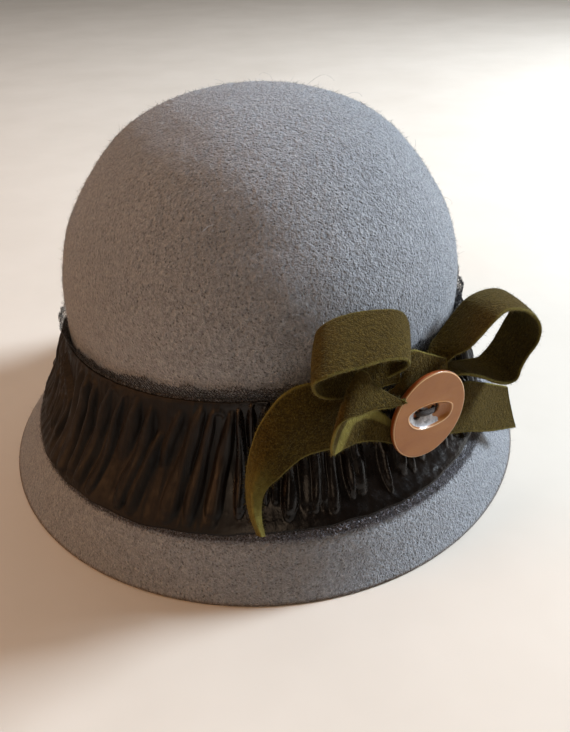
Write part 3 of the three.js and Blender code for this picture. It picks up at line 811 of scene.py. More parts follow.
def net_zone(z_of, rows, cell, off, phase, seed, width, hem=False):
    """Hexagonal net strands between two heights; z_of(theta, u) gives the height at u 0 to 1."""
    S = 600.0
    n = int(S / cell)
    r = rng(seed)
    # honeycomb nodes: two per cell
    nodes, idx = [], {}
    for j in range(rows + 1):
        for i in range(n):
            for k in (0, 1):
                th = (i + 0.5 * (j % 2) + phase) / n * 2 * math.pi
                u = (j + (0.0 if k == 0 else 0.36)) / (rows + 0.4)
                idx[(i, j, k)] = len(nodes)
                nodes.append((th, u))
    nodes = np.array(nodes)
    jit = r.normal(size=(len(nodes), 2)) * (0.2 * 2 * math.pi / n, 0.2 / (rows + 0.4))
    nodes = nodes + jit
    z = z_of(nodes[:, 0], nodes[:, 1])
    P = net_point(nodes[:, 0], z, off + 0.25 * r.rand(len(nodes)))
    E = []
    for j in range(rows + 1):
        for i in range(n):
            a0, a1 = idx[(i, j, 0)], idx[(i, j, 1)]
            if j > 0 or not hem:
                E.append((a0, a1))
            if j < rows:
                if j % 2 == 0:
                    nb = (idx[(i, j + 1, 0)], idx[((i - 1) % n, j + 1, 0)])
                else:
                    nb = (idx[((i + 1) % n, j + 1, 0)], idx[(i, j + 1, 0)])
                E += [(a1, nb[0]), (a1, nb[1])]
    E = np.array(E)
    A, B = P[E[:, 0]], P[E[:, 1]]
    keep = np.linalg.norm(A - B, axis=1) < 3 * cell
    A, B = A[keep], B[keep]
    d = B - A
    ln = np.linalg.norm(d, axis=1, keepdims=True)
    d = d / ln
    A, B = A - d * width * 0.3, B + d * width * 0.3
    s1 = np.cross(d, r.normal(size=d.shape)); s1 /= np.linalg.norm(s1, axis=1, keepdims=True)
    s2 = np.cross(d, s1)
    ring = []
    for k in range(3):
        t = 2 * math.pi * k / 3
        ring.append(s1 * math.cos(t) * width / 2 + s2 * math.sin(t) * width / 2)
    V = np.stack([A + q for q in ring] + [B + q for q in ring], 1).reshape(-1, 3)
    b0 = (np.arange(len(A)) * 6)[:, None]
    F = np.concatenate([b0 + np.array([[k, (k + 1) % 3, 3 + (k + 1) % 3, 3 + k]]) for k in range(3)])
    return V, F


def join(parts):
    V, F, base = [], [], 0
    for v, f in parts:
        V.append(v); F.append(f + base); base += len(v)
    return np.concatenate(V), np.concatenate(F)


def build_net():
    def hi(t, u):  # the strip that shows above the ruched band
        return top_z(t) - 6.8 + (8.2 + 0.9 * np.sin(t * 23 + 1.7 * np.sin(t * 7)) + 0.5 * np.sin(t * 61)) * u
    def lo(t, u):  # the strip that shows below it
        return NET_BOTTOM_Z - 0.5 + 7.0 * u
    up = join([net_zone(hi, 6, 1.35, 0.70, 0.0, 31, 0.21), net_zone(hi, 6, 1.5, 1.15, 0.4, 32, 0.19)])
    dn = join([net_zone(lo, 5, 1.4, 0.95, 0.1, 33, 0.24, True), net_zone(lo, 5, 1.55, 1.25, 0.6, 34, 0.20, True)])
    a = make("net_strands_upper", *up, NET, None, "net_black")
    b_ = make("net_strands_lower", *dn, NET_PAINTED_LIT, None, "net_black")
    # the inner ply, a thin closed skin
    cols = 360
    th = np.linspace(0, 2 * np.pi, cols, endpoint=False)
    rows = []
    us = np.concatenate([np.linspace(0, 0.2, 4), np.linspace(0.3, 0.8, 8), np.linspace(0.86, 1, 7)])
    fray = 0.35 * noise3(np.stack([np.cos(th) * 60, np.sin(th) * 60, 0 * th], 1), 0.9, 35)
    z0 = NET_BOTTOM_Z + 0.2 + fray * 0.5
    z1 = top_z(th) - 4.2 + fray
    for u in us:
        rows.append(net_point(th, z0 + (z1 - z0) * u, 0.95))
    for u in us[::-1]:
        rows.append(net_point(th, z0 + (z1 - z0) * u, 0.70))
    V = np.concatenate(rows)
    F = grid_faces(len(rows), cols, True, True)
    o = make("net_ply", V, F, NET_PLY, "net_band", "net_black")
    check_out(o)
    # painted glints: tiny bright specks scattered over the strands, painted highlights standing in for sparkle
    r = rng(36)
    n = 6500
    t = r.rand(n) * 2 * np.pi
    upper = r.rand(n) < 0.05
    z = np.where(upper, top_z(t) - 5 + 6.2 * r.rand(n), NET_BOTTOM_Z - 0.6 + 4.0 * r.rand(n))
    P = net_point(t, z, 1.45)
    s = r.uniform(0.08, 0.25, n)[:, None]
    oct_ = np.array([[1, 0, 0], [-1, 0, 0], [0, 1, 0], [0, -1, 0], [0, 0, 1], [0, 0, -1]], float)
    V = (P[:, None] + oct_[None] * s[:, None]).reshape(-1, 3)
    tri = np.array([[0, 2, 4], [2, 1, 4], [1, 3, 4], [3, 0, 4], [2, 0, 5], [1, 2, 5], [3, 1, 5], [0, 3, 5]])
    F = (np.arange(n)[:, None, None] * 6 + tri[None]).reshape(-1, 3)
    g = make("net_glints", V, F, GLINT, None, "net_black", smooth=False)
    return o, a, b_, g


net_ply, net_up, net_dn, net_gl = build_net()

# ------------------------------------------------------------------ ruched band
R_MEAN = 95.0


def ruche_z(theta, v):
    lo = RUCHE_BOTTOM_Z - 0.7 + 1.9 * np.cos(theta - 0.3)
    hi = top_z(theta) - RUCHE_BELOW_TOP
    return lo + (hi - lo) * v


def fold_paths():
    """Each fold is a line of points (arc mm, height 0 to 1, radius mm, height mm)."""
    r = rng(41)
    folds = []
    s, S = -180.0, 180.0  # degrees
    while s < S - 1.5:
        a = s
        left = -178 < a < -142     # gathers that draw together at the top
        wide = -142 <= a < -96     # broad leaning folds
        tight = -96 <= a < -32     # close upright folds under the bow
        if tight:
            step, rad, high = r.uniform(2.5, 4.9), r.uniform(1.4, 2.8), r.uniform(2.2, 3.6)
        elif wide:
            step, rad, high = r.uniform(4.0, 6.4), r.uniform(2.3, 4.2), r.uniform(2.3, 3.4)
        elif left:
            step, rad, high = r.uniform(2.4, 4.6), r.uniform(1.4, 2.8), r.uniform(1.6, 2.7)
        else:
            step, rad, high = r.uniform(3.0, 5.6), r.uniform(1.6, 3.0), r.uniform(2.3, 3.7)
        lean = 0.0
        if wide:
            lean = 7.5 * smoothstep(-142, -122, a) * (1 - 0.55 * smoothstep(-106, -96, a)) + r.uniform(-1, 1)
        elif not tight:
            lean = r.uniform(-2.5, 4.0)
        else:
            lean = r.uniform(-1.6, 2.4)
        v0 = r.uniform(0.10, 0.22) if not wide else r.uniform(0.02, 0.12)
        v1 = r.uniform(0.86, 0.95)
        if r.rand() < 0.20:
            v0 = r.uniform(0.30, 0.55)   # a short fold that dies out low down
        elif r.rand() < 0.14:
            v1 = r.uniform(0.55, 0.80)
        n = 13
        v = np.linspace(v0, v1, n)
        t = (v - 0.5)
        wig = r.uniform(-1.1, 1.1) * np.sin(v * r.uniform(4, 8) + r.uniform(0, 6))
        arc = a * math.pi / 180 * R_MEAN + lean * t * 1.6 + lean * 0.5 * t * t + wig
        if left:
            centre = math.radians(-170) * R_MEAN
            arc = centre + (arc - centre) * (1 - 0.40 * smoothstep(0.45, 1.0, v)) + 2.0 * t
        end = smoothstep(v0 - 0.02, v0 + 0.10, v) * smoothstep(-(v1 + 0.02), -(v1 - 0.12), -v)
        fat = np.exp(-((v - v0 - 0.16) / 0.20) ** 2)
        rad_v = rad * (0.70 + 0.30 * end) * ((0.72 + 0.48 * fat) if not wide else (1.1 - 0.35 * smoothstep(0.3, 1.0, v)))
        rad_v = rad_v * (1 + 0.10 * np.sin(v * r.uniform(9, 20) + r.uniform(0, 6)))
        high_v = high * (0.35 + 0.65 * end) * (1 + 0.12 * np.sin(v * r.uniform(7, 16) + r.uniform(0, 6)))
        pts = np.stack([arc, v, rad_v, high_v], 1)
        if r.rand() < (0.55 if wide else 0.0 if left else 0.35) and v1 > 0.84:
            # the top hooks over into the next fold as an arch
            side = 1 if r.rand() < 0.7 else -1
            rr = r.uniform(1.8, 3.6)
            aa = np.linspace(0.35, math.pi * r.uniform(0.7, 1.0), 7)
            top = pts[-1]
            hook = np.stack([top[0] + side * rr * (1 - np.cos(aa)), top[1] + rr * np.sin(aa) / 44.0 * 0.9,
                             np.full(7, max(0.7, top[2] * 0.75)), np.linspace(top[3], top[3] * 0.5, 7)], 1)
            pts = np.concatenate([pts, hook])
        folds.append((pts, r.uniform(-0.45, 0.45)))
        s += step / R_MEAN * 180 / math.pi * 1.25
    return folds


def build_ruche():
    cols, rows = 1560, 46
    th = np.linspace(-np.pi, np.pi, cols, endpoint=False)
    v = np.linspace(0, 1, rows)
    v = 0.5 * (v + (0.5 - 0.5 * np.cos(v * np.pi)))  # closer rows at both edges
    H = 46.0
    arc = th * R_MEAN
    A, Vv = np.meshgrid(arc, v)
    height = np.zeros_like(A)
    second = np.zeros_like(A)
    circ = 2 * np.pi * R_MEAN
    d_arc = arc[1] - arc[0]
    for pts, tilt in fold_paths():
        lo, hi = pts[:, 0].min() - 5, pts[:, 0].max() + 5
        i0, i1 = int(math.floor((lo + np.pi * R_MEAN) / d_arc)), int(math.ceil((hi + np.pi * R_MEAN) / d_arc))
        ii = np.arange(i0, i1 + 1)
        x = ii * d_arc - np.pi * R_MEAN
        X, Y = np.meshgrid(x, v * H)
        best = np.zeros(X.shape)
        for k in range(len(pts) - 1):
            (ax, av, ar, ah), (bx, bv, br, bh) = pts[k], pts[k + 1]
            ay, by = av * H, bv * H
            dx, dy = bx - ax, by - ay
            L2 = max(dx * dx + dy * dy, 1e-6)
            t = np.clip(((X - ax) * dx + (Y - ay) * dy) / L2, 0, 1)
            dist = np.hypot(X - ax - t * dx, Y - ay - t * dy)
            rad = ar + (br - ar) * t
            hh = ah + (bh - ah) * t
            s_ = np.clip((X - ax - t * dx) / rad, -1, 1)
            q = np.clip(1 - (dist / rad) ** 2, 0, 1) ** 0.74 * hh * (1 + tilt * s_)
            best = np.maximum(best, q)
        cols_i = ii % cols
        cur = height[:, cols_i]
        # rounded join where folds meet
        m = np.maximum(cur, best)
        n_ = np.minimum(cur, best)
        height[:, cols_i] = m + 0.06 * np.minimum(n_, 0.8)
    P0 = np.stack([A, Vv * H, np.zeros_like(A)], -1)
    ang = A / R_MEAN
    Q = np.stack([np.cos(ang) * 60, np.sin(ang) * 60, Vv * 9], -1)
    fine = noise3(Q, 1 / 1.1, 43)
    mid = noise3(np.stack([np.cos(ang) * 95, np.sin(ang) * 95, Vv * 26], -1), 1 / 6.5, 44)
    base = 0.55 + 0.75 * smoothstep(0.0, 0.22, Vv) * smoothstep(-1.0, -0.86, -Vv) + 0.35 * mid * smoothstep(0.1, 0.3, Vv)
    # fine creases that run with the folds
    shear = 0.12 * (Vv - 0.5) * H
    W = np.stack([np.cos(ang - shear / R_MEAN) * R_MEAN, np.sin(ang - shear / R_MEAN) * R_MEAN, Vv * H * 0.09], -1)
    crease = 1 - np.abs(noise3(W, 1 / 1.9, 46)) * 2.2
    crease2 = 1 - np.abs(noise3(W * (1, 1, 1.6), 1 / 3.7, 47)) * 2.0
    left_part = smoothstep(-math.pi, -math.pi + 0.1, ang) * smoothstep(math.radians(140), math.radians(152), -ang)
    close = smoothstep(math.radians(-100), math.radians(-90), ang) * smoothstep(math.radians(20), math.radians(32), -ang)
    plain = 1 - 0.75 * close
    height = height + plain * (0.24 + 0.30 * left_part) * np.clip(crease, 0, 1) + plain * 0.38 * np.clip(crease2, 0, 1) * smoothstep(0.04, 0.2, Vv)
    # the folds lie flatter where the bow rests on them
    for at, half, v_lo, v_hi in ((-61.7, 3.0, 0.45, 1.0), (-32.7, 7.5, 0.50, 1.0), (-43.9, 3.0, 0.05, 0.50)):
        near = 1 - smoothstep(half, half + 2.5, np.abs(np.degrees(ang) - at))
        near = near * smoothstep(v_lo - 0.08, v_lo, Vv) * (1 - smoothstep(v_hi, v_hi + 0.08, Vv))
        height = height * (1 - 0.5 * near)
    edge_fade = smoothstep(0.0, 0.05, Vv) * smoothstep(-1.0, -0.965, -Vv)
    off = 1.62 + (base + height + 0.10 * fine) * (0.25 + 0.75 * edge_fade)
    TH = np.broadcast_to(th, A.shape)
    Z = ruche_z(TH, Vv)
    # the bottom edge waves a little where the folds end
    wave = 0.5 * noise3(np.stack([np.cos(ang) * 95, np.sin(ang) * 95, 0 * ang], -1), 1 / 7.0, 45)
    Z = Z + wave * (1 - smoothstep(0, 0.2, Vv)) + 0.5 * wave * smoothstep(0.85, 1, Vv)
    out = felt_at(TH, Z, off)
    # the cloth's inner face runs in and out with the same folds
    low = off.copy()
    for k in (1, 2, 3):
        low[k:] = np.minimum(low[k:], off[:-k])
        low[:-k] = np.minimum(low[:-k], off[k:])
    low = np.maximum(1.34, low - 0.55)
    inner = [felt_at(TH[i], Z[i], low[i]) for i in sorted(set(list(range(0, rows, 3)) + [rows - 1]), reverse=True)]
    Vx = np.concatenate([out.reshape(-1, 3)] + inner)
    F = grid_faces(rows + len(inner), cols, True, True)
    deg = np.degrees(ang)
    gloss = smoothstep(-108, -88, deg) * (1 - 0.85 * smoothstep(-32, -12, deg))
    gloss = np.concatenate([gloss.ravel(), np.zeros(len(inner) * cols)])
    o = make("ruched_band_satin", Vx, F, SATIN, "ruched_band", "satin_dark", attrs={"gloss": gloss})
    check_out(o)
    return o, off


ruche, RUCHE_OFF = build_ruche()

# ------------------------------------------------------------------ bow strips
def strip_edges(name, steps=8):
    """Near and far edge lines of a strip's outer face, through its rows."""
    near, far = [], []
    for x, y, z, wide, yaw, pitch in STRIPS[name]:
        a, p = math.radians(yaw), math.radians(pitch)
        A = np.array([x, y, z], float)
        near.append(A)
        far.append(A + wide * np.array([math.sin(a) * math.cos(p), math.cos(a) * math.cos(p), math.sin(p)]))
    return spline(near, steps), spline(far, steps)


def build_strip(name, inward, bulge, seed):
    near, far = strip_edges(name)
    n, m = len(near), 15
    u = np.linspace(0, 1, m)
    u = 0.5 * u + 0.5 * (0.5 - 0.5 * np.cos(u * np.pi))
    G = near[:, None] * (1 - u)[None, :, None] + far[:, None] * u[None, :, None]
    q = grid_faces(n, m)
    N = normals_of(G.reshape(-1, 3), q).reshape(n, m, 3)
    # N is across x along; the sign table says on which side of the face the thickness lies
    t = np.linspace(0, 1, n)
    h = bulge(t[:, None], u[None, :])
    h = h + 0.22 * noise3(G, 1 / 11.0, seed + 60) + 0.08 * noise3(G, 1 / 3.5, seed + 61)
    G = G + N * (h * inward)[..., None]
    N = normals_of(G.reshape(-1, 3), q).reshape(n, m, 3)
    inner = G - N * (inward * STRIP_SEEN)
    # a soft rounded cut edge on both sides: pull the faces' rims in, and add a middle line
    wide = np.linalg.norm(far - near, axis=1)
    pull = np.minimum(0.45, wide * 0.08)[:, None]
    across = (far - near) / np.maximum(wide, 1e-6)[:, None]
    def rim(g, k, sgn):
        return g[:, k] + across * pull * sgn
    jag = 0.10 * noise3(near, 1 / 0.9, seed + 70)[:, None]
    jag2 = 0.10 * noise3(far, 1 / 0.9, seed + 71)[:, None]
    outer_l = [G[:, k] for k in range(m)]
    inner_l = [inner[:, k] for k in range(m)]
    outer_l[0] = rim(G, 0, 1); outer_l[-1] = rim(G, -1, -1)
    inner_l[0] = rim(inner, 0, 1); inner_l[-1] = rim(inner, -1, -1)
    mid_n1 = G[:, 0] * 0.72 + inner[:, 0] * 0.28 - across * jag
    mid_n2 = G[:, 0] * 0.28 + inner[:, 0] * 0.72 - across * jag
    mid_f1 = G[:, -1] * 0.72 + inner[:, -1] * 0.28 + across * jag2
    mid_f2 = G[:, -1] * 0.28 + inner[:, -1] * 0.72 + across * jag2
    loop = [mid_n1] + outer_l + [mid_f1, mid_f2] + inner_l[::-1] + [mid_n2]
    L = np.stack(loop, 1)  # n, k, 3
    k = L.shape[1]
    V = L.reshape(-1, 3)
    F = [tuple(x) for x in grid_faces(n, k, True)]
    # end caps, each a strip of quads between the outer and inner lines
    for row, flip in ((0, False), (n - 1, True)):
        b0 = row * k
        o_i = [b0 + 1 + j for j in range(m)]
        i_i = [b0 + 3 + m + (m - 1 - j) for j in range(m)]
        ring = [b0] + o_i + [b0 + m + 1]
        ring2 = [b0 + k - 1] + i_i + [b0 + m + 2]
        for j in range(len(ring) - 1):
            f = (ring[j], ring[j + 1], ring2[j + 1], ring2[j])
            F.append(f if not flip else f[::-1])
    # edge weights for the painted highlight: paler olive along the cut edges and strip ends, weaker on the loops
    edge = np.zeros((n, k))
    for j in (0, m + 1, m + 2, k - 1):
        edge[:, j] = 1.0
    edge[:, 1] = edge[:, m] = edge[:, m + 3] = edge[:, k - 2] = 0.45
    edge[0] = np.maximum(edge[0], 0.6); edge[-1] = np.maximum(edge[-1], 0.6)
    speck = 0.5 + 0.5 * noise3(L, 1 / 1.3, seed + 80)
    if name == "bow_fold_mid":
        # the turned-over face just past the fold is painted paler, a painted highlight where it turns to face the light
        row = t[:, None] * 14
        uu = np.zeros(k); uu[1:m + 1] = u; uu[m + 1:m + 3] = 1; uu[m + 3:m + 3 + m] = u[::-1]
        turn = smoothstep(8.8, 9.1, row) * smoothstep(-10.2, -9.7, -row)
        rim_ = smoothstep(9.3, 9.8, row) * smoothstep(-13.4, -12.4, -row) * smoothstep(0.68, 0.78, uu)[None]
        edge = np.maximum(edge, 1.15 * np.maximum(turn, rim_))
    if name == "bow_tail_left":
        # painted highlight: the tail's lower part is painted paler, less on the far half of its width
        uu = np.zeros(k); uu[1:m + 1] = u; uu[m + 1:m + 3] = 1; uu[m + 3:m + 3 + m] = u[::-1]
        edge = np.maximum(edge, 0.95 * smoothstep(0.55, 0.85, t)[:, None] * np.ones(k)[None] * (1 - 0.5 * smoothstep(0.5, 0.62, uu))[None])
    if name in ("bow_loop_left", "bow_loop_right"):
        edge *= 0.65
    edge *= (0.45 + 0.75 * speck)
    o = make(name + "_felt", V, F, OLIVE, name, "felt_olive", attrs={"edge": edge.ravel()})
    check_out(o)
    step = np.linalg.norm(np.diff((near + far) / 2, axis=0), axis=1)
    area = float((step * (wide[1:] + wide[:-1]) / 2).sum())
    return o, L, float(wide.max()), float(step.sum()), area


def tail_bulge(t, u):
    # a soft ridge along the tail's lower half, a third of the way from its outer edge
    ridge = np.clip(1 - np.abs(u - 0.45) / 0.5, 0, 1)
    return 3.4 * smoothstep(0.30, 0.75, t) * (1 - 0.35 * smoothstep(0.9, 1, t)) * ridge + 0.5 * np.sin(np.pi * u) * (1 - t)


BULGE = {
    "bow_loop_left": lambda t, u: 0.5 * np.sin(np.pi * u) * np.sin(np.pi * t),
    "bow_loop_right": lambda t, u: 0.6 * np.sin(np.pi * u) * np.sin(np.pi * t),
    "bow_fold_mid": lambda t, u: 0.6 * np.sin(np.pi * u) * np.sin(np.pi * t),
    "bow_tail_left": tail_bulge,
    "bow_tail_right": lambda t, u: 0.7 * np.sin(np.pi * t * 1.6 + 0.4) * np.sin(np.pi * u),
    "bow_knot": lambda t, u: 0.9 * np.sin(np.pi * u),
}
strips, STRIP_L = {}, {}
for i_s, name in enumerate(STRIPS):
    o, L, w_, l_, a_ = build_strip(name, INWARD[name], BULGE[name], 100 + i_s)
    strips[name] = o
    STRIP_L[name] = (L, w_, l_, a_)


def build_strip_fuzz():
    """Short fibres on the strips' faces, and longer pale ones along their cut edges."""
    parts = []
    for i_s, name in enumerate(STRIPS):
        L, w_, l_, a_ = STRIP_L[name]
        n, k = L.shape[:2]
        V = L.reshape(-1, 3)
        q = grid_faces(n, k, True)
        centre_in = V
        a = normals_of(V, q)
        vol = (V[q[:, 0]] * np.cross(V[q[:, 1]], V[q[:, 2]])).sum() + (V[q[:, 0]] * np.cross(V[q[:, 2]], V[q[:, 3]])).sum()
        sgn = 1.0 if vol > 0 else -1.0
        a = a * sgn
        m = (k - 4) // 2
        cnt = int(1.5 * w_ * l_ * 1.4)
        pts, nn = sample(V, q, cnt, 200 + i_s)
        nn = nn * sgn
        r = rng(220 + i_s)
        tang = np.cross(nn, r.normal(size=nn.shape)); tang /= np.linalg.norm(tang, axis=1, keepdims=True)
        d = nn * r.uniform(0.2, 1.1, (len(pts), 1)) + tang
        parts.append(fibres(pts - nn * 0.04, d, np.clip(r.lognormal(-0.35, 0.35, len(pts)), 0.3, 1.6), 0.076, 240 + i_s))
        # edges
        for col in (0, k - 1, m + 1, m + 2):
            e = L[:, col]
            cnt = int(l_ * 4)
            t = r.rand(cnt) * (n - 1)
            i0 = t.astype(int); f = (t - i0)[:, None]
            p = e[i0] * (1 - f) + e[np.minimum(i0 + 1, n - 1)] * f
            nv = a.reshape(n, k, 3)[i0, col]
            d = nv + 0.9 * r.normal(size=nv.shape) * 0.6
            parts.append(fibres(p - nv * 0.05, d, np.clip(r.lognormal(-0.1, 0.4, cnt), 0.35, 2.2), 0.06, 260 + i_s * 7 + col % 7))
    v, f = join(parts)
    print("strip fuzz triangles", len(f))
    return make("bow_nap", v, f, NAP_OLIVE, None, "felt_olive", smooth=False)


bow_nap = build_strip_fuzz()

# ------------------------------------------------------------------ button
BUTTON_AT = np.array([65.5, -87.8, 56.8])
BUTTON_NORMAL = np.array([0.581, -0.813, -0.014])
BUTTON_PROFILE = [(0, -1.6), (14.5, -1.6), (16.0, -1.56), (16.8, -1.35), (17.4, -0.95), (17.85, -0.3), (18.05, 0.4), (18.08, 0.9), (17.95, 1.25), (17.78, 1.42), (17.55, 1.50), (17.1, 1.52), (14.2, 1.47), (9.0, 1.42), (0, 1.38)]


def button_frame():
    z = BUTTON_NORMAL / np.linalg.norm(BUTTON_NORMAL)
    x = np.cross([0, 0, 1.0], z); x /= np.linalg.norm(x)
    y = np.cross(z, x)
    return np.stack([x, y, z], 1)


BF = button_frame()
EYE = [
    (-11.1, 2.8), (-10.4, 0.4), (-8.7, -1.8), (-4.9, -4.3), (-0.7, -5.3), (3.9, -5.4), (8, -4.7), (10.2, -3.3), (11.1, -1.1),
    (10.9, 0.8), (9.2, 2.4), (5.9, 3.8), (1.7, 4.9), (-2.4, 5.4), (-6.4, 5.4), (-9.3, 4.8), (-10.8, 4),
]
EYE_C = np.array([0.3, -0.2])
HOLES = [(-4.7, 1.3), (3.7, 0.9)]
HOLE_R = 2.25


def build_button():
    N = 256
    e = np.array(EYE)
    closed = spline([(*p, 0.0) for p in np.concatenate([e[-2:], e, e[:3]])], 10)[:, :2]
    ang = np.unwrap(np.arctan2(closed[:, 1], closed[:, 0]))
    rad = np.hypot(closed[:, 0], closed[:, 1])
    if ang[-1] < ang[0]:
        ang, rad = ang[::-1], rad[::-1]
    phi = np.linspace(0, 2 * np.pi, N, endpoint=False)
    grid_a = np.concatenate([ang - 2 * np.pi, ang, ang + 2 * np.pi])
    grid_r = np.concatenate([rad, rad, rad])
    o_ = np.argsort(grid_a)
    r_eye = np.interp(phi, grid_a[o_], grid_r[o_])
    for _ in range(2):
        r_eye = (np.roll(r_eye, 1) + 2 * r_eye + np.roll(r_eye, -1)) / 4
    u = np.stack([np.cos(phi), np.sin(phi)], 1)
    pr = np.array(BUTTON_PROFILE)
    front = pr[7:][::-1]          # from the middle out to the crest
    def z_face(r):
        return np.interp(r, front[:, 0], front[:, 1])
    def circle(R):
        b_ = u @ EYE_C
        c = EYE_C @ EYE_C - R * R
        s = -b_ + np.sqrt(b_ * b_ - c)
        return EYE_C + u * s[:, None]
    rings, edge, floor_ = [], [], []
    def add(xy, z, ed, fl):
        rings.append(np.column_stack([xy, np.broadcast_to(z, N)]))
        edge.append(np.broadcast_to(ed, N)); floor_.append(np.broadcast_to(fl, N))
    prof_k = [(0.0, -0.30), (0.45, -0.24), (0.66, -0.12), (0.76, 0.04), (0.86, 0.36), (0.93, 0.78), (0.975, 1.20), (1.0, 1.45), (1.02, 1.54), (1.045, 1.52), (1.08, 1.44)]
    pk = np.array(prof_k)
    ks = np.concatenate([np.linspace(0.03, 0.74, 34), np.linspace(0.76, 1.0, 18), np.linspace(1.012, 1.08, 7)])
    for k in ks:
        xy = EYE_C + u * (r_eye * k)[:, None]
        z = np.full(N, np.interp(k, pk[:, 0], pk[:, 1]))
        if k > 1.045:
            w = (k - 1.045) / 0.035
            z = z * (1 - w) + w * z_face(np.hypot(xy[:, 0], xy[:, 1]))
        if k < 0.995:
            for hx, hy in HOLES:
                d = np.hypot(xy[:, 0] - hx, xy[:, 1] - hy)
                t = 1 - smoothstep(HOLE_R - 0.35, HOLE_R + 0.18, d)
                z = z * (1 - t) + (-1.75) * t
        # the eye's lip carries a painted highlight through the edge weight
        add(xy, z, float(np.exp(-((k - 1.015) / 0.022) ** 2)), 1.0 if k < 0.92 else 0.0)
    inner = EYE_C + u * (r_eye * 1.08)[:, None]
    outer = circle(14.2)
    for t in np.linspace(0, 1, 16)[1:]:
        xy = inner * (1 - t) + outer * t
        add(xy, z_face(np.hypot(xy[:, 0], xy[:, 1])), 0.0, 0.0)
    rim = pr[3:13][::-1]
    rs = spline([(a, b_, 0) for a, b_ in rim], 3)[1:, :2]
    for R, z in rs:
        # painted highlight along the crest of the rim, painted shade on the side wall below it
        ed = float(np.exp(-((R - 17.72) / 0.16) ** 2)) * (1.0 if z > 0.9 else 0.0)
        side = 1.0 if z < 1.0 else 0.0
        add(circle(min(R, 18.1)), z, ed - 0.9 * side, 0.0)
    for R, z in ((16.4, -1.55), (14.5, -1.6), (8.0, -1.6)):
        xy = circle(R) if R > 9 else u * R
        # painted shade on the back
        add(xy, z, -0.9, 0.0)
    V = np.concatenate(rings)
    E, Fl = np.concatenate(edge), np.concatenate(floor_)
    R_ = len(rings)
    faces = [tuple(q) for q in grid_faces(R_, N, True)]
    ci, co = len(V), len(V) + 1
    V = np.concatenate([V, [[EYE_C[0], EYE_C[1], -0.22]], [[0, 0, -1.6]]])
    E = np.concatenate([E, [0, 0]]); Fl = np.concatenate([Fl, [1, 0]])
    a = np.arange(N); b_ = (a + 1) % N
    faces += [(ci, x, y) for x, y in zip(b_, a)] + [((R_ - 1) * N + x, (R_ - 1) * N + y, co) for x, y in zip(a, b_)]
    # a faint natural waviness of the cut shell
    V[:, 2] += 0.035 * noise3(V, 1 / 4.5, 91) * (V[:, 2] > 1.0)
    W = V @ BF.T + BUTTON_AT
    mi = []
    for f in faces:
        inside = min(Fl[list(f)]) > 0.5
        mx, my = V[list(f), 0].mean(), V[list(f), 1].mean()
        deep = V[list(f), 2].mean() < -0.55
        mi.append(2 if deep and inside else 1 if inside and mx + 0.9 * my + 0.6 * math.sin(my * 2.1) < 1.6 else 0)
    o = make("button_disc", W, faces, [SHELL, PEARL, THREAD], "button", "button_shell", mat_index=mi, attrs={"edge": E})
    check_out(o)
    return o


button = build_button()


def build_thread():
    (x0, y0), (x1, y1) = HOLES
    V, F, base = [], [], 0
    r = rng(95)
    for k in range(5):
        off = (k - 2) * 0.46
        ph = k * 1.3
        pts = []
        for t in np.linspace(0, 1, 40):
            # up out of one hole, over the web, and down the other
            x = x0 + (x1 - x0) * (0.5 - 0.5 * math.cos(math.pi * min(1, max(0, (t - 0.06) / 0.88)))) * 1.0
            arch = math.sin(math.pi * t) ** 0.55
            z = -1.5 + arch * (2.15 + 0.10 * math.sin(ph))
            y = y0 + (y1 - y0) * t + off * (0.55 + 0.45 * arch) + 0.16 * math.sin(t * 9 + ph)
            z += 0.16 * math.cos(t * 9 + ph)
            pts.append((x, y, z))
        v, f = tube(np.array(pts), 0.30, 8)
        V.append(v); F += [tuple(i + base for i in q) for q in f]; base += len(v)
    W = np.concatenate(V) @ BF.T + BUTTON_AT
    return make("button_stitch", W, F, THREAD, "button_thread", "thread_dark")


stitch = build_thread()


# ------------------------------------------------------------------ strip sizes, worked out but not used
for name, o in strips.items():
    L, w_, l_, a_ = STRIP_L[name]
    w_, l_ = max(w_, 10.2), max(l_, 10.2)

# ------------------------------------------------------------------ floor, light, camera
fm = bpy.data.meshes.new("floor")
fm.from_pydata([(-5, -5, 0), (5, -5, 0), (5, 9, 0), (-5, 9, 0)], [], [(0, 1, 2, 3)])
floor = bpy.data.objects.new("floor", fm)
bpy.context.scene.collection.objects.link(floor)
fm.materials.append(mat_floor())


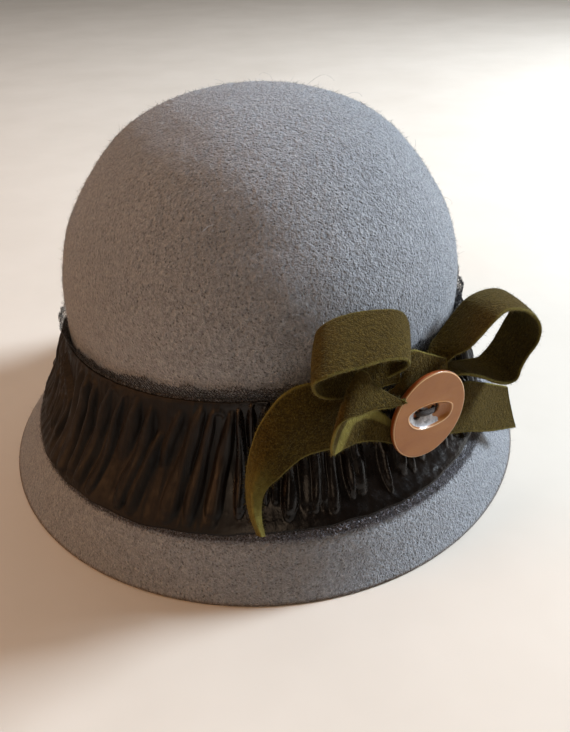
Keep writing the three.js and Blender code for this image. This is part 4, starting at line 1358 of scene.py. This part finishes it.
def area_light(name, at, look, size, power, colour, size_y=None):
    d = bpy.data.lights.new(name, "AREA")
    d.energy = power
    d.color = colour
    d.shape = "RECTANGLE"
    d.size, d.size_y = size, size_y or size
    o = bpy.data.objects.new(name, d)
    o.location = at
    o.rotation_euler = (Vector(look) - Vector(at)).to_track_quat("-Z", "Y").to_euler()
    bpy.context.scene.collection.objects.link(o)
    return o


area_light("key", (1.35, 0.50, 0.85), (0, 0, 0.08), 0.45, 60, (0.80, 0.90, 1.0))
area_light("top", (0.10, 0.85, 1.70), (0, 0, 0.05), 1.1, 5, (1.0, 0.95, 0.90))
area_light("front", (-0.15, -1.65, 1.00), (0, 0, 0.08), 0.8, 4.6, (1.0, 0.74, 0.52))
area_light("warm", (-1.35, -0.45, 0.75), (0, 0, 0.08), 0.7, 11.0, (1.0, 0.48, 0.20))
sky = bpy.data.lights.new("overhead", "SUN")
sky.energy, sky.angle, sky.color = 0.50, 1.0, (1.0, 0.95, 0.90)
sky_ob = bpy.data.objects.new("overhead", sky)
bpy.context.scene.collection.objects.link(sky_ob)
sky_ob.rotation_euler = (-0.30, 0.10, 0.0)
world = bpy.data.worlds.new("soft")
world.use_nodes = True
world.node_tree.nodes["Background"].inputs[0].default_value = (1.0, 0.88, 0.76, 1)
world.node_tree.nodes["Background"].inputs[1].default_value = 0.07
bpy.context.scene.world = world
bpy.context.scene.view_settings.view_transform = "Standard"


cam = bpy.data.cameras.new("camera")
cam.lens, cam.sensor_width, cam.sensor_fit = LENS, SENSOR, "AUTO"
cam.clip_start, cam.clip_end = 0.01, 60
cam_o = bpy.data.objects.new("camera", cam)
R = Matrix([[CAM_RIGHT[i], CAM_UP[i], -CAM_FORWARD[i]] for i in range(3)]).to_4x4()
cam_o.matrix_world = Matrix.Translation(Vector(CAM_AT) * MM) @ R
bpy.context.scene.collection.objects.link(cam_o)
bpy.context.scene.camera = cam_o

total = sum(len(p.vertices) - 2 for o in bpy.data.objects if o.type == "MESH" and not o.hide_render for p in o.data.polygons)
print("triangles in all", total)
for o in bpy.data.objects:
    if o.type == "MESH" and not o.hide_render:
        print("  ", o.name, sum(len(p.vertices) - 2 for p in o.data.polygons))
